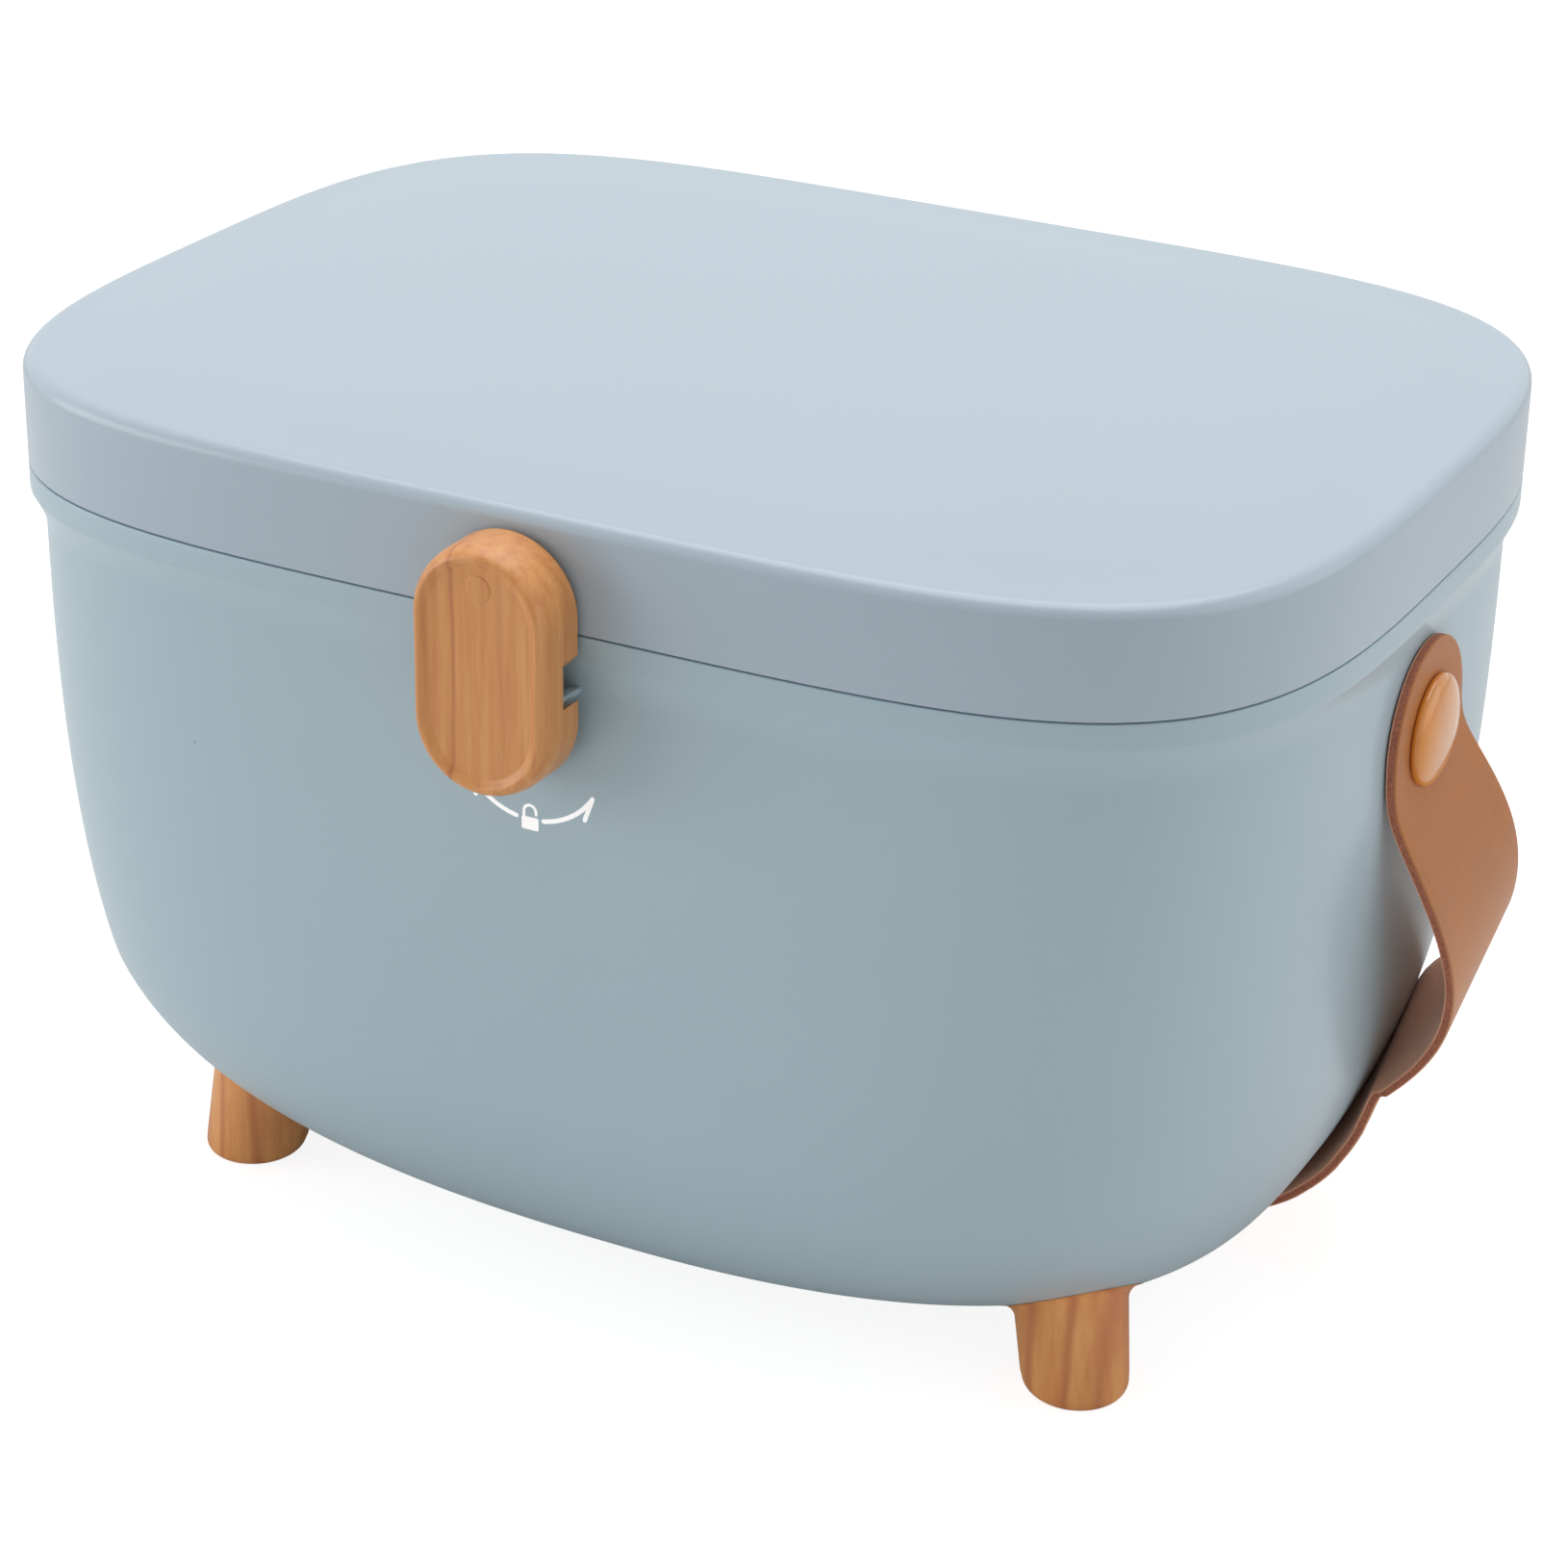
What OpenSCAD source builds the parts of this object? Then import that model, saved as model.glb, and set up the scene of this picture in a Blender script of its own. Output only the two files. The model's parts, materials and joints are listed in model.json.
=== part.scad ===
// Family medicine box: a soft oval tub on four splayed feet, with a hinged lid, a swinging
// latch knob, a leather carry strap tucked under the belly and a lift-out tray.
// The origin is the middle of the footprint on the table. The front of the box faces -Y.

/* [Box] */
// Overall width of the box at the seam between tub and lid
body_w = 302; // [260:2:340]
// Overall depth of the box at the seam
body_d = 222; // [200:2:250]
// Height of the seam above the table
seam_z = 173.5; // [160:0.5:200]
// Height of the lid above the seam
lid_h = 24.2; // [22:0.2:32]
// Height of the belly above the table
belly_z = 14; // [12:0.5:18]
// Wall thickness of the tub and the lid
wall = 2.4; // [2:0.1:3]
// Open gap between the tub rim and the lid
seam_gap = 0.3; // [0.2:0.05:0.6]

/* [Tub shape] */
// Squareness of the outline along the long sides
side_power = 4.8; // [3.5:0.1:5.5]
// Squareness of the outline along the short sides
end_power = 3.5; // [2.8:0.1:4.5]
// Roundness of the outline at the bottom of the belly
belly_power = 2; // [1.8:0.1:2.6]
// Rate at which the outline rounds off towards the belly
round_rate = 1.9; // [1.5:0.1:2.6]
// Step from the seam band in to the wall below it
band_step = 2.6; // [1.6:0.1:3.4]
// Height of the curved band under the seam
band_h = 14.5; // [12:0.5:20]
// How far each short end draws in from the band to the belly
end_draw = 52; // [40:1:60]
// Curve of the short ends, where a larger value keeps them upright for longer
end_curve = 2.9; // [2.2:0.1:3.6]
// How far the long sides draw in from the band to the belly
side_draw = 35; // [28:1:44]
// Height over which the long sides draw in
side_curve_h = 47; // [40:1:60]
// Curve of the long sides where they draw in
side_curve = 1.4; // [1.2:0.05:2]

/* [Rim and lid] */
// Height of the locating lip that stands inside the lid
lip_h = 4; // [3:0.5:6]
// Thickness of the locating lip
lip_t = 1.6; // [1.2:0.1:2]
// Clearance between the lip and the lid
lip_gap = 0.4; // [0.3:0.05:0.8]
// Radius of the lid's top edge
lid_edge_r = 3; // [2:0.5:4]
// Width over which the lid's top falls off towards its edge
lid_crown_w = 26; // [14:1:36]
// Height of the lid's middle above that edge
lid_crown = 0.8; // [0.4:0.1:1.2]

/* [Hinges] */
// Distance of each hinge from the middle of the box
hinge_x = 62; // [50:1:72]
// Length of one hinge over its three knuckles
hinge_len = 30; // [24:1:36]
// Length of the lid's knuckle in the middle
hinge_mid_len = 14; // [10:1:16]
// Outer radius of the knuckles
knuckle_r = 4.4; // [4:0.1:4.8]
// Distance of the pin's axis behind the rear wall
hinge_out = 5.8; // [5.6:0.1:6.4]
// Radius of the hinge pins
hinge_pin_r = 1.5; // [1.2:0.1:2]
// Running clearance around the pins and the latch screw
run_gap = 0.05; // [0.03:0.01:0.1]
// Side gap between neighbouring knuckles
knuckle_gap = 0.3; // [0.2:0.1:0.5]

/* [Latch] */
// Width of the knob
knob_w = 31; // [26:0.5:34]
// Length of the knob
knob_len = 52.5; // [48:0.5:56]
// Thickness of the knob from back to front
knob_t = 12.8; // [11:0.2:15]
// Height of the knob's pivot above the seam
pivot_up = 8.5; // [7:0.5:11]
// Length of the knob above its pivot
knob_top = 11.3; // [10:0.5:12]
// Gap between the knob's back and the front wall
knob_gap = 1.2; // [0.8:0.1:2]
// Radius of the knob's front edge
knob_edge_r = 4.4; // [3:0.2:5]
// Width of the raised rim around the knob's face
knob_rim_w = 4.2; // [3.5:0.1:5]
// Depth of the recessed face inside the rim
knob_dish = 0.8; // [0.5:0.1:1.2]
// Inner radius of the ring groove in the knob's back
groove_in_r = 19.2; // [18:0.1:20]
// Width of the ring groove
groove_w = 7; // [6.4:0.1:8]
// Depth of the ring groove
groove_depth = 6; // [5:0.2:7]
// Thickness of the curved catch on the tub
catch_t = 3.2; // [2.6:0.1:3.6]
// Half the angle that the catch spans
catch_half_angle = 36; // [28:1:40]
// Radius of the pivot screw
pivot_r = 2; // [1.8:0.1:2.4]
// Radius of the collar round the pivot, on the knob's back
collar_r = 5; // [4:0.5:7]
// Depth of the pivot screw in the knob
pivot_depth = 8; // [6:0.5:9]
// Gap between the turning latch pieces and the lid
turn_gap = 0.1; // [0.05:0.01:0.15]
// Gap between the front of the catch and the bottom of the groove
catch_gap = 0.7; // [0.4:0.1:1]

/* [Feet] */
// Distance of each foot, on the table, in from the short end of the box
foot_in_w = 46.5; // [42:0.5:56]
// Distance of each foot, on the table, in from the long side of the box
foot_in_d = 53.5; // [49:0.5:59]
// Radius of a foot near the table
foot_r = 11.2; // [10:0.2:12]
// Growth of that radius up to the belly
foot_taper = 1.6; // [0:0.2:3]
// Radius of the rounded edge at a foot's bottom
foot_edge_r = 3.4; // [2:0.2:4]
// Lean of each foot, outwards at the bottom
foot_lean = 10; // [4:1:13]
// Direction of the lean, measured from the width towards the depth
foot_turn = 33; // [20:1:45]
// Radius of the foot screws
foot_screw_r = 2; // [1.6:0.1:2.4]
// Length of the foot screws
foot_screw_len = 20; // [16:1:22]
// Radius of the bosses that carry the feet inside the tub
foot_boss_r = 6; // [5:0.5:7]
// Height of those bosses above the belly, along the lean of the foot
foot_boss_up = 17; // [16:1:20]

/* [Strap] */
// Width of the strap
strap_w = 40; // [32:1:42]
// Thickness of the strap
strap_t = 2.6; // [2:0.1:3]
// Height of the two buttons above the table
button_z = 141; // [134:1:144]
// Radius of the buttons
button_r = 12; // [10:0.5:13]
// Thickness of a button's domed head
button_t = 3.6; // [3:0.1:4.5]
// Thickness of a button's head at its edge
button_edge_t = 1.4; // [1:0.1:2]
// Radius of the stem under a button's head
button_stem_r = 3.2; // [3:0.1:4]
// Radius of the screw in a button's stem
button_screw_r = 1.6; // [1.2:0.1:1.8]
// Gap between the strap and what it lies on
strap_gap = 0.3; // [0.2:0.1:0.6]
// How far the strap bulges away from each short end
strap_bulge = 15.2; // [8:0.2:17]
// Drop from the button to where the strap meets the belly again
bulge_len = 78; // [66:1:80]
// How low the bulge is fullest, where 1 is halfway
bulge_shape = 1.35; // [1:0.05:1.6]
// Backward tilt of the hanging strap
strap_tilt = 9; // [0:1:10]

/* [Tray] */
// Height of the tray
tray_h = 38; // [30:1:44]
// Depth of the tray's rim below the seam
tray_drop = 4; // [3:0.5:8]
// Wall thickness of the tray
tray_wall = 1.6; // [1.2:0.1:2.2]
// Clearance between the tray and the lip or the strap screws, whichever stands in further
tray_gap = 0.8; // [0.6:0.1:2]
// Thickness of the ribs that carry the tray
rib_t = 3; // [2:0.5:4]
// Height of those ribs
rib_h = 22; // [16:1:26]
// Number of compartments along the width
tray_columns = 3; // [2:1:4]
// Radius of the finger notches in the short ends
notch_r = 14; // [10:1:16]

/* [Hidden] */
$fn = 64;
shell_blue = [0.63, 0.70, 0.73];
lid_blue = [0.68, 0.74, 0.79];
wood = [0.76, 0.52, 0.32];
leather = [0.66, 0.45, 0.31];
steel = [0.72, 0.72, 0.74];
tray_white = [0.90, 0.91, 0.92];
// Corners of each outline, and levels in the curved wall
sides = 72;
levels = 14;
// Steps in the strap's bulge and in its curve round the belly
bulge_steps = 16;
curve_steps = 12;
eps = 0.01;
half_w = body_w / 2;
half_d = body_d / 2;
top_z = seam_z + lid_h;
band_z = seam_z - band_h;
belly_depth = band_z - belly_z;
lip_in = wall + lip_gap;
lip_inner = lip_in + lip_t;
hinge_y = half_d + hinge_out;
foot_x = half_w - foot_in_w;
foot_y = half_d - foot_in_d;
pivot_z = seam_z + pivot_up;
knob_back_y = -half_d - knob_gap;
catch_r = groove_in_r + groove_w / 2 - catch_t / 2;
ceiling_z = top_z - lid_crown - wall;
// Screw heads and washers
screw_gap = 0.25;
head_r = 3.6;
head_t = 1.6;
washer_r = 4.5;
washer_t = 0.8;
// Where a strap screw's washer lies on the inside of the wall, and its head on the washer
strap_washer_x = end_x(button_z - washer_r) - wall - screw_gap / 2;
strap_head_x = strap_washer_x - washer_t;
tray_z = seam_z - tray_drop - tray_h;
tray_in = max(lip_inner, half_w - strap_head_x + head_t) + tray_gap;

// Shape of the tub

function clamp01(v) = min(1, max(0, v));
// A curve that starts upright at 0 and ends flat at 1
function draw_in(u, k) = 1 - pow(1 - pow(clamp01(u), k), 1 / k);
function signed_power(v, p) = sign(v) * pow(abs(v), p);
function outline(a, b, pa, pb) = [for (i = [0 : sides - 1])
    let (t = 360 * i / sides)
    [a * signed_power(cos(t), 2 / pa), b * signed_power(sin(t), 2 / pb)]];
function ring(inset, z) = [for (p = outline(half_w - inset, half_d - inset, side_power, end_power))
    [p.x, p.y, z]];
// Insets of the short ends and the long sides at a depth below the band
function end_inset(d) = band_step + end_draw * draw_in(d / belly_depth, end_curve);
function side_inset(d) = band_step
    + side_draw * draw_in((d - belly_depth + side_curve_h) / side_curve_h, side_curve);
function eased_power(d, from) = from + (belly_power - from) * draw_in(d / belly_depth, round_rate);
// One level of the curved wall: the skin is drawn in by inset and its foot is raised by lift
function wall_ring(share, inset, lift) =
    let (d = belly_depth * share)
    [for (p = outline(half_w - end_inset(d) - inset, half_d - side_inset(d) - inset,
            eased_power(d, side_power), eased_power(d, end_power)))
        [p.x, p.y, band_z - d + lift * share]];
function wall_rings(inset, lift) = [for (i = [0 : levels]) wall_ring(sin(90 * i / levels), inset, lift)];
function band_rings(inset) = [for (i = [1 : 3])
    ring(inset + band_step * (1 + cos(45 * i)) / 2, band_z + band_h * i / 4)];
function reversed(list) = [for (i = [len(list) - 1 : -1 : 0]) list[i]];

// Skin over a list of outlines, closed by a flat face at each end
module loft(rings) {
    n = len(rings[0]);
    last = len(rings) - 1;
    polyhedron(
        points = [for (r = rings) each r],
        faces = concat(
            [[for (i = [0 : n - 1]) i]],
            [for (k = [0 : last - 1], i = [0 : n - 1])
                let (j = (i + 1) % n)
                [k * n + i, (k + 1) * n + i, (k + 1) * n + j]],
            [for (k = [0 : last - 1], i = [0 : n - 1])
                let (j = (i + 1) % n)
                [k * n + i, (k + 1) * n + j, k * n + j]],
            [[for (i = [n - 1 : -1 : 0]) last * n + i]]));
}

module tub_skin() {
    loft(concat(
        reversed(wall_rings(0, 0)),
        band_rings(0),
        [ring(0, seam_z), ring(lip_in, seam_z), ring(lip_in, seam_z + lip_h),
            ring(lip_inner, seam_z + lip_h), ring(lip_inner, seam_z - lip_h),
            ring(wall + band_step, seam_z - 2 * lip_h)],
        wall_rings(wall, wall)));
}

// Distance of the tub's skin from the middle, along the width and along the depth
function end_x(z) = half_w - end_inset(band_z - z);
function side_y(z) = half_d - side_inset(band_z - z);
// Distance of the long sides from the middle plane at a place along the width
function rim_y(x) = half_d * pow(1 - pow(abs(x) / half_w, side_power), 1 / end_power);

// The belly alone, grown by a gap, to cut the tops of the feet to its curve
module belly(gap) {
    first = 5;
    rings = [for (i = [levels : -1 : first]) wall_ring(sin(90 * i / levels), -gap, 0)];
    translate([0, 0, -gap]) loft(rings);
}

module mirror_x(left) {
    mirror([left ? 1 : 0, 0, 0]) children();
}

// A shape drawn with Z as its axis, laid along X and pointing outwards at the button
module at_button() {
    translate([0, 0, button_z]) rotate([0, 90, 0]) children();
}

// A shape drawn with Z as its axis, laid along -Y at the knob's pivot
module at_pivot(y) {
    translate([0, y, pivot_z]) rotate([90, 0, 0]) children();
}

// Tub

// The foot's own axis, from the middle of its print on the table
module at_foot(x_sign, y_sign) {
    mirror([x_sign < 0 ? 1 : 0, 0, 0])
    mirror([0, y_sign < 0 ? 1 : 0, 0])
    translate([foot_x, foot_y, 0])
    rotate([0, 0, foot_turn])
    rotate([0, -foot_lean, 0])
    children();
}

module at_feet() {
    for (x_sign = [-1, 1], y_sign = [-1, 1]) at_foot(x_sign, y_sign) children();
}

module foot_bosses() {
    intersection() {
        at_feet() cylinder(r = foot_boss_r, h = belly_z + foot_boss_up);
        belly(-wall / 3);
    }
}

// A rib under the tray, drawn from the middle of the wall inwards and pointing along X
module tray_rib(wall_high, wall_low, reach) {
    translate([0, rib_t / 2, 0]) rotate([90, 0, 0]) linear_extrude(rib_t)
        polygon([[wall_low, tray_z - rib_h], [wall_high, tray_z], [reach, tray_z]]);
}

module tray_ribs() {
    for (left = [false, true]) mirror_x(left)
        tray_rib(end_x(tray_z) - wall / 2, end_x(tray_z - rib_h) - wall / 2, half_w - tray_in - 2 * rib_t);
    for (side = [-1, 1], x = [-1, 1]) translate([x * hinge_x, 0, 0]) rotate([0, 0, 90 * side])
        tray_rib(rim_y(hinge_x) - half_d + side_y(tray_z) - wall / 2,
            rim_y(hinge_x) - half_d + side_y(tray_z - rib_h) - wall / 2, half_d - tray_in - 3 * rib_t);
}

// One knuckle, with a web that runs into the wall above or below the pin
module knuckle(from, to, up) {
    root_y = rim_y(max(abs(from), abs(to))) - wall / 3;
    web_t = knuckle_r - hinge_pin_r;
    near = up * seam_gap;
    far = up * 2 * knuckle_r;
    translate([from, 0, seam_z]) rotate([90, 0, 90]) linear_extrude(to - from) union() {
        translate([hinge_y, 0]) circle(knuckle_r);
        polygon([[root_y, near], [hinge_y, near], [hinge_y + web_t, up * web_t], [root_y, far]]);
    }
}

module hinge_bore(r) {
    translate([0, hinge_y, seam_z]) rotate([0, 90, 0])
        cylinder(r = r, h = 2 * (hinge_x + hinge_len), center = true);
}

module tub_knuckles() {
    for (left = [false, true]) mirror_x(left) {
        knuckle(hinge_x - hinge_len / 2, hinge_x - hinge_mid_len / 2 - knuckle_gap, -1);
        knuckle(hinge_x + hinge_mid_len / 2 + knuckle_gap, hinge_x + hinge_len / 2, -1);
    }
}

// The curved rib that the knob's groove slides over
module catch() {
    root_y = -half_d + band_step + wall / 2;
    depth = root_y - (knob_back_y - groove_depth + catch_gap);
    at_pivot(root_y) rotate([0, 0, -90 - catch_half_angle])
        rotate_extrude(angle = 2 * catch_half_angle) translate([catch_r, 0]) square([catch_t, depth]);
}

module body_shell() {
    color(shell_blue)
    difference() {
        union() {
            tub_skin();
            tub_knuckles();
            catch();
            foot_bosses();
            tray_ribs();
        }
        hinge_bore(hinge_pin_r);
        at_feet() cylinder(r = foot_screw_r + screw_gap, h = belly_z + foot_boss_up + 1);
        at_button() cylinder(r = button_screw_r + screw_gap, h = 2 * body_w, center = true);
        at_pivot(-half_d + 2 * lip_inner) cylinder(r = washer_r + lip_gap, h = 2 * lip_inner - lip_in + eps);
    }
}

// Lid

module lid_skin() {
    edge_z = top_z - lid_crown - lid_edge_r;
    loft(concat(
        [ring(wall, ceiling_z), ring(wall, seam_z + seam_gap), ring(0, seam_z + seam_gap)],
        [for (a = [0 : 22.5 : 90]) ring(lid_edge_r * (1 - cos(a)), edge_z + lid_edge_r * sin(a))],
        [for (i = [1 : 4]) ring(lid_edge_r + lid_crown_w * i / 4, top_z - lid_crown * (1 + cos(45 * i)) / 2)]));
}

module lid() {
    color(lid_blue)
    difference() {
        union() {
            lid_skin();
            for (left = [false, true]) mirror_x(left)
                knuckle(hinge_x - hinge_mid_len / 2, hinge_x + hinge_mid_len / 2, 1);
        }
        hinge_bore(hinge_pin_r + run_gap);
        at_pivot(-half_d + 2 * wall) cylinder(r = pivot_r + run_gap, h = 3 * wall);
    }
}

module hinge_pin(left) {
    color(steel) mirror_x(left) translate([hinge_x, hinge_y, seam_z]) rotate([0, 90, 0])
        cylinder(r = hinge_pin_r, h = hinge_len, center = true);
}

// Latch

// Half section of the knob, from its middle to its edge
module knob_section() {
    half = knob_w / 2;
    difference() {
        union() {
            square([half - knob_edge_r, knob_t]);
            square([half, knob_t - knob_edge_r]);
            translate([half - knob_edge_r, knob_t - knob_edge_r]) circle(knob_edge_r);
        }
        translate([-eps, knob_t - knob_dish]) square([half - knob_rim_w + eps, 2 * knob_dish]);
    }
}

module knob_blank() {
    straight = knob_len - knob_w;
    translate([0, knob_top - knob_w / 2, 0]) {
        rotate_extrude(angle = 180) knob_section();
        rotate([90, 0, 0]) linear_extrude(straight) {
            knob_section();
            mirror([1, 0]) knob_section();
        }
        translate([0, -straight, 0]) rotate([0, 0, 180]) rotate_extrude(angle = 180) knob_section();
    }
}

module latch_knob() {
    collar = knob_gap - turn_gap;
    color(wood)
    at_pivot(knob_back_y) difference() {
        union() {
            knob_blank();
            translate([0, 0, -collar]) cylinder(r = collar_r, h = collar + eps);
        }
        translate([0, 0, -1]) rotate_extrude() translate([groove_in_r, 0]) square([groove_w, groove_depth + 1]);
        translate([0, 0, -2 * collar]) cylinder(r = pivot_r, h = 2 * collar + pivot_depth);
    }
}

module latch_pivot_screw() {
    head_y = -half_d + wall + turn_gap + washer_t;
    color(steel) {
        at_pivot(head_y) cylinder(r = pivot_r, h = head_y - knob_back_y + pivot_depth);
        at_pivot(head_y + head_t) cylinder(r = head_r, h = head_t);
    }
}

module washer(bore_r) {
    difference() {
        cylinder(r = washer_r, h = washer_t);
        translate([0, 0, -1]) cylinder(r = bore_r, h = washer_t + 2);
    }
}

module latch_washer() {
    color(steel) at_pivot(-half_d + wall + turn_gap + washer_t) washer(pivot_r + turn_gap);
}

// Feet

module foot(x_sign, y_sign) {
    reach = belly_z + 1.5 * foot_boss_up;
    round_z = foot_edge_r - foot_taper / 4;
    color(wood)
    difference() {
        at_foot(x_sign, y_sign) difference() {
            rotate_extrude() union() {
                polygon([[0, round_z - foot_edge_r], [foot_r - foot_edge_r, round_z - foot_edge_r],
                    [foot_r - foot_edge_r, round_z], [foot_r, round_z], [foot_r + foot_taper, reach], [0, reach]]);
                translate([foot_r - foot_edge_r, round_z]) intersection() {
                    circle(foot_edge_r);
                    translate([0, -foot_edge_r]) square(foot_edge_r);
                }
            }
            translate([0, 0, belly_z + foot_boss_up - foot_screw_len])
                cylinder(r = foot_screw_r, h = foot_screw_len);
        }
        translate([0, 0, -belly_z]) cube([2 * body_w, 2 * body_d, 2 * belly_z], center = true);
        belly(turn_gap);
    }
}

module foot_screws() {
    color(steel) at_feet() translate([0, 0, belly_z + foot_boss_up]) {
        translate([0, 0, -foot_screw_len]) cylinder(r = foot_screw_r, h = foot_screw_len + eps);
        cylinder(r = head_r, h = head_t);
    }
}

// Strap

// The strap lies flat under its button and bulges from below the button's edge
flat_len = button_r + 1;
strap_join_z = button_z - bulge_len;
// How far the tilted strap moves down so that its raised rear edge still clears the belly
tilt_drop = strap_w / 2 * sin(strap_tilt);
strap_off = strap_gap + strap_t / 2;
// The belly's curve in the plane of the strap, from the join down to the flat
curve_start = asin(pow((band_z - strap_join_z) / belly_depth, end_curve / 2));
curve_step = (90 - curve_start) / curve_steps;
bulge_step = (bulge_len - flat_len) / bulge_steps;
function bulge(len) = let (u = clamp01((len - flat_len) / (bulge_len - flat_len)))
    strap_bulge * sin(180 * pow(u, bulge_shape));
function bulge_point(len) = [end_x(button_z - len) + strap_off + bulge(len),
    button_z - len - tilt_drop * pow(len / bulge_len, 2)];
function curve_point(a) = let (c = pow(cos(a), 2 / end_curve), s = pow(sin(a), 2 / end_curve))
    [half_w - band_step - end_draw * (1 - c) + strap_off * c, band_z - (belly_depth + strap_off) * s - tilt_drop];
// Middle line of the right half of the strap, from the top of its end to the middle of the belly
function half_line() = concat(
    [[end_x(button_z) + strap_off, button_z + strap_w / 2], [end_x(button_z) + strap_off, button_z]],
    [for (i = [0 : bulge_steps - 1]) bulge_point(flat_len + bulge_step * i)],
    [for (i = [0 : curve_steps - 1]) curve_point(curve_start + curve_step * i)],
    [[0, belly_z - strap_off - tilt_drop]]);
// Both halves, drawn longer below the button because the strap hangs at a tilt
function strap_line() = let (half = [for (p = half_line()) [p.x, button_z + (p.y - button_z) / cos(strap_tilt)]])
    concat(half, [for (i = [len(half) - 2 : -1 : 0]) [-half[i].x, half[i].y]]);
function turned(v) = [v.y, -v.x] / norm(v);
// Direction square to a line at each of its points
function square_to(line) = let (last = len(line) - 1)
    [for (i = [0 : last]) turned(line[min(i + 1, last)] - line[max(i - 1, 0)])];
function shifted(line, by) = let (n = square_to(line)) [for (i = [0 : len(line) - 1]) line[i] - n[i] * by];

module strap() {
    line = strap_line();
    outer = shifted(line, strap_t / 2);
    inner = shifted(line, -strap_t / 2);
    color(leather)
    translate([0, 0, button_z]) rotate([strap_tilt, 0, 0]) translate([0, 0, -button_z])
    difference() {
        intersection() {
            translate([0, strap_w / 2, 0]) rotate([90, 0, 0]) linear_extrude(strap_w)
                polygon(concat(outer, reversed(inner)));
            union() {
                at_button() cylinder(r = strap_w / 2, h = 2 * body_w, center = true);
                translate([0, 0, button_z / 2 - strap_w])
                    cube([2 * body_w, strap_w, button_z + 2 * strap_w], center = true);
            }
        }
        at_button() cylinder(r = button_stem_r + screw_gap, h = 2 * body_w, center = true);
    }
}

module strap_button(left) {
    stem_x = half_w - band_step;
    head_x = end_x(button_z) + strap_gap + strap_t;
    rise = button_t - button_edge_t;
    dome_r = (button_r * button_r + rise * rise) / (2 * rise);
    color(wood) mirror_x(left) at_button() difference() {
        union() {
            translate([0, 0, stem_x]) cylinder(r = button_stem_r, h = head_x - stem_x + button_edge_t / 2);
            translate([0, 0, head_x]) rotate_extrude() intersection() {
                square([button_r, button_t]);
                translate([0, button_t - dome_r]) circle(dome_r, $fn = 8 * $fn);
            }
        }
        translate([0, 0, stem_x - 1]) cylinder(r = button_screw_r, h = head_x - stem_x + 1 + button_edge_t);
    }
}

module strap_washer(left) {
    color(steel) mirror_x(left) at_button() translate([0, 0, strap_head_x])
        washer(button_screw_r + turn_gap);
}

module strap_screw(left) {
    tip_x = end_x(button_z) + strap_gap + strap_t + button_edge_t;
    color(steel) mirror_x(left) at_button() {
        translate([0, 0, strap_head_x - eps]) cylinder(r = button_screw_r, h = tip_x - strap_head_x);
        translate([0, 0, strap_head_x - head_t]) cylinder(r = head_r, h = head_t);
    }
}

// Tray

module tray_outline(inset) {
    polygon(outline(half_w - tray_in - inset, half_d - tray_in - inset, side_power, end_power));
}

// The compartments: one along the back, and a row of columns along the front
module tray_rooms() {
    long = 2 * (half_w - tray_in);
    deep = half_d - tray_in;
    pitch = long / tray_columns;
    intersection() {
        tray_outline(tray_wall);
        union() {
            translate([-long / 2, tray_wall / 2]) square([long, deep]);
            for (i = [0 : tray_columns - 1]) translate([-long / 2 + pitch * i + tray_wall / 2, -deep])
                square([pitch - tray_wall, deep - tray_wall / 2]);
        }
    }
}

module tray() {
    color(tray_white)
    translate([0, 0, tray_z]) difference() {
        linear_extrude(tray_h) tray_outline(0);
        translate([0, 0, tray_wall]) linear_extrude(tray_h) tray_rooms();
        for (left = [false, true]) mirror_x(left) translate([half_w - tray_in - tray_wall - 1, 0, tray_h])
            rotate([0, 90, 0]) cylinder(r = notch_r, h = tray_wall + 2);
    }
}

body_shell();
lid();
hinge_pin(true);  // hinge_pin_left
hinge_pin(false);  // hinge_pin_right
latch_knob();
latch_pivot_screw();
latch_washer();
foot(-1, -1);  // foot_front_left
foot(1, -1);  // foot_front_right
foot(-1, 1);  // foot_rear_left
foot(1, 1);  // foot_rear_right
foot_screws();
strap();
strap_button(true);  // strap_button_left
strap_button(false);  // strap_button_right
strap_screw(true);  // strap_screw_left
strap_screw(false);  // strap_screw_right
strap_washer(true);  // strap_washer_left
strap_washer(false);  // strap_washer_right
tray();
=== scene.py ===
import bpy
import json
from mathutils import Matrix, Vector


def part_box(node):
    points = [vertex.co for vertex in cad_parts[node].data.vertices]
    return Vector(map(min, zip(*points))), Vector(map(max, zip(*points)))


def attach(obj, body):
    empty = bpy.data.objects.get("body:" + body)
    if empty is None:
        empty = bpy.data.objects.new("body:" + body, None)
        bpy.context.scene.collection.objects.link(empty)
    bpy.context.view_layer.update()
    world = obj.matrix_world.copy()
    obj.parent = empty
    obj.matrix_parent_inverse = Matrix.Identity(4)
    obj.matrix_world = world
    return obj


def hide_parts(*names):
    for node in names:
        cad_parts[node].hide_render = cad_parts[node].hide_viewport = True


bl_info = {
    "name": "Family medicine box",
    "version": (1, 0, 0),
    "blender": (4, 5, 0),
    "location": "3D View > Sidebar > Medicine box",
    "description": "Moulded shells, latch knob, feet, carry strap and studio for a family medicine box",
    "category": "Object",
}

import json
from contextlib import contextmanager
from math import atan2, cos, dist, exp, pi, radians, sin

import bmesh
import bpy
from bpy.props import FloatProperty, FloatVectorProperty, IntProperty, PointerProperty
from mathutils import Matrix, Vector

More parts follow.
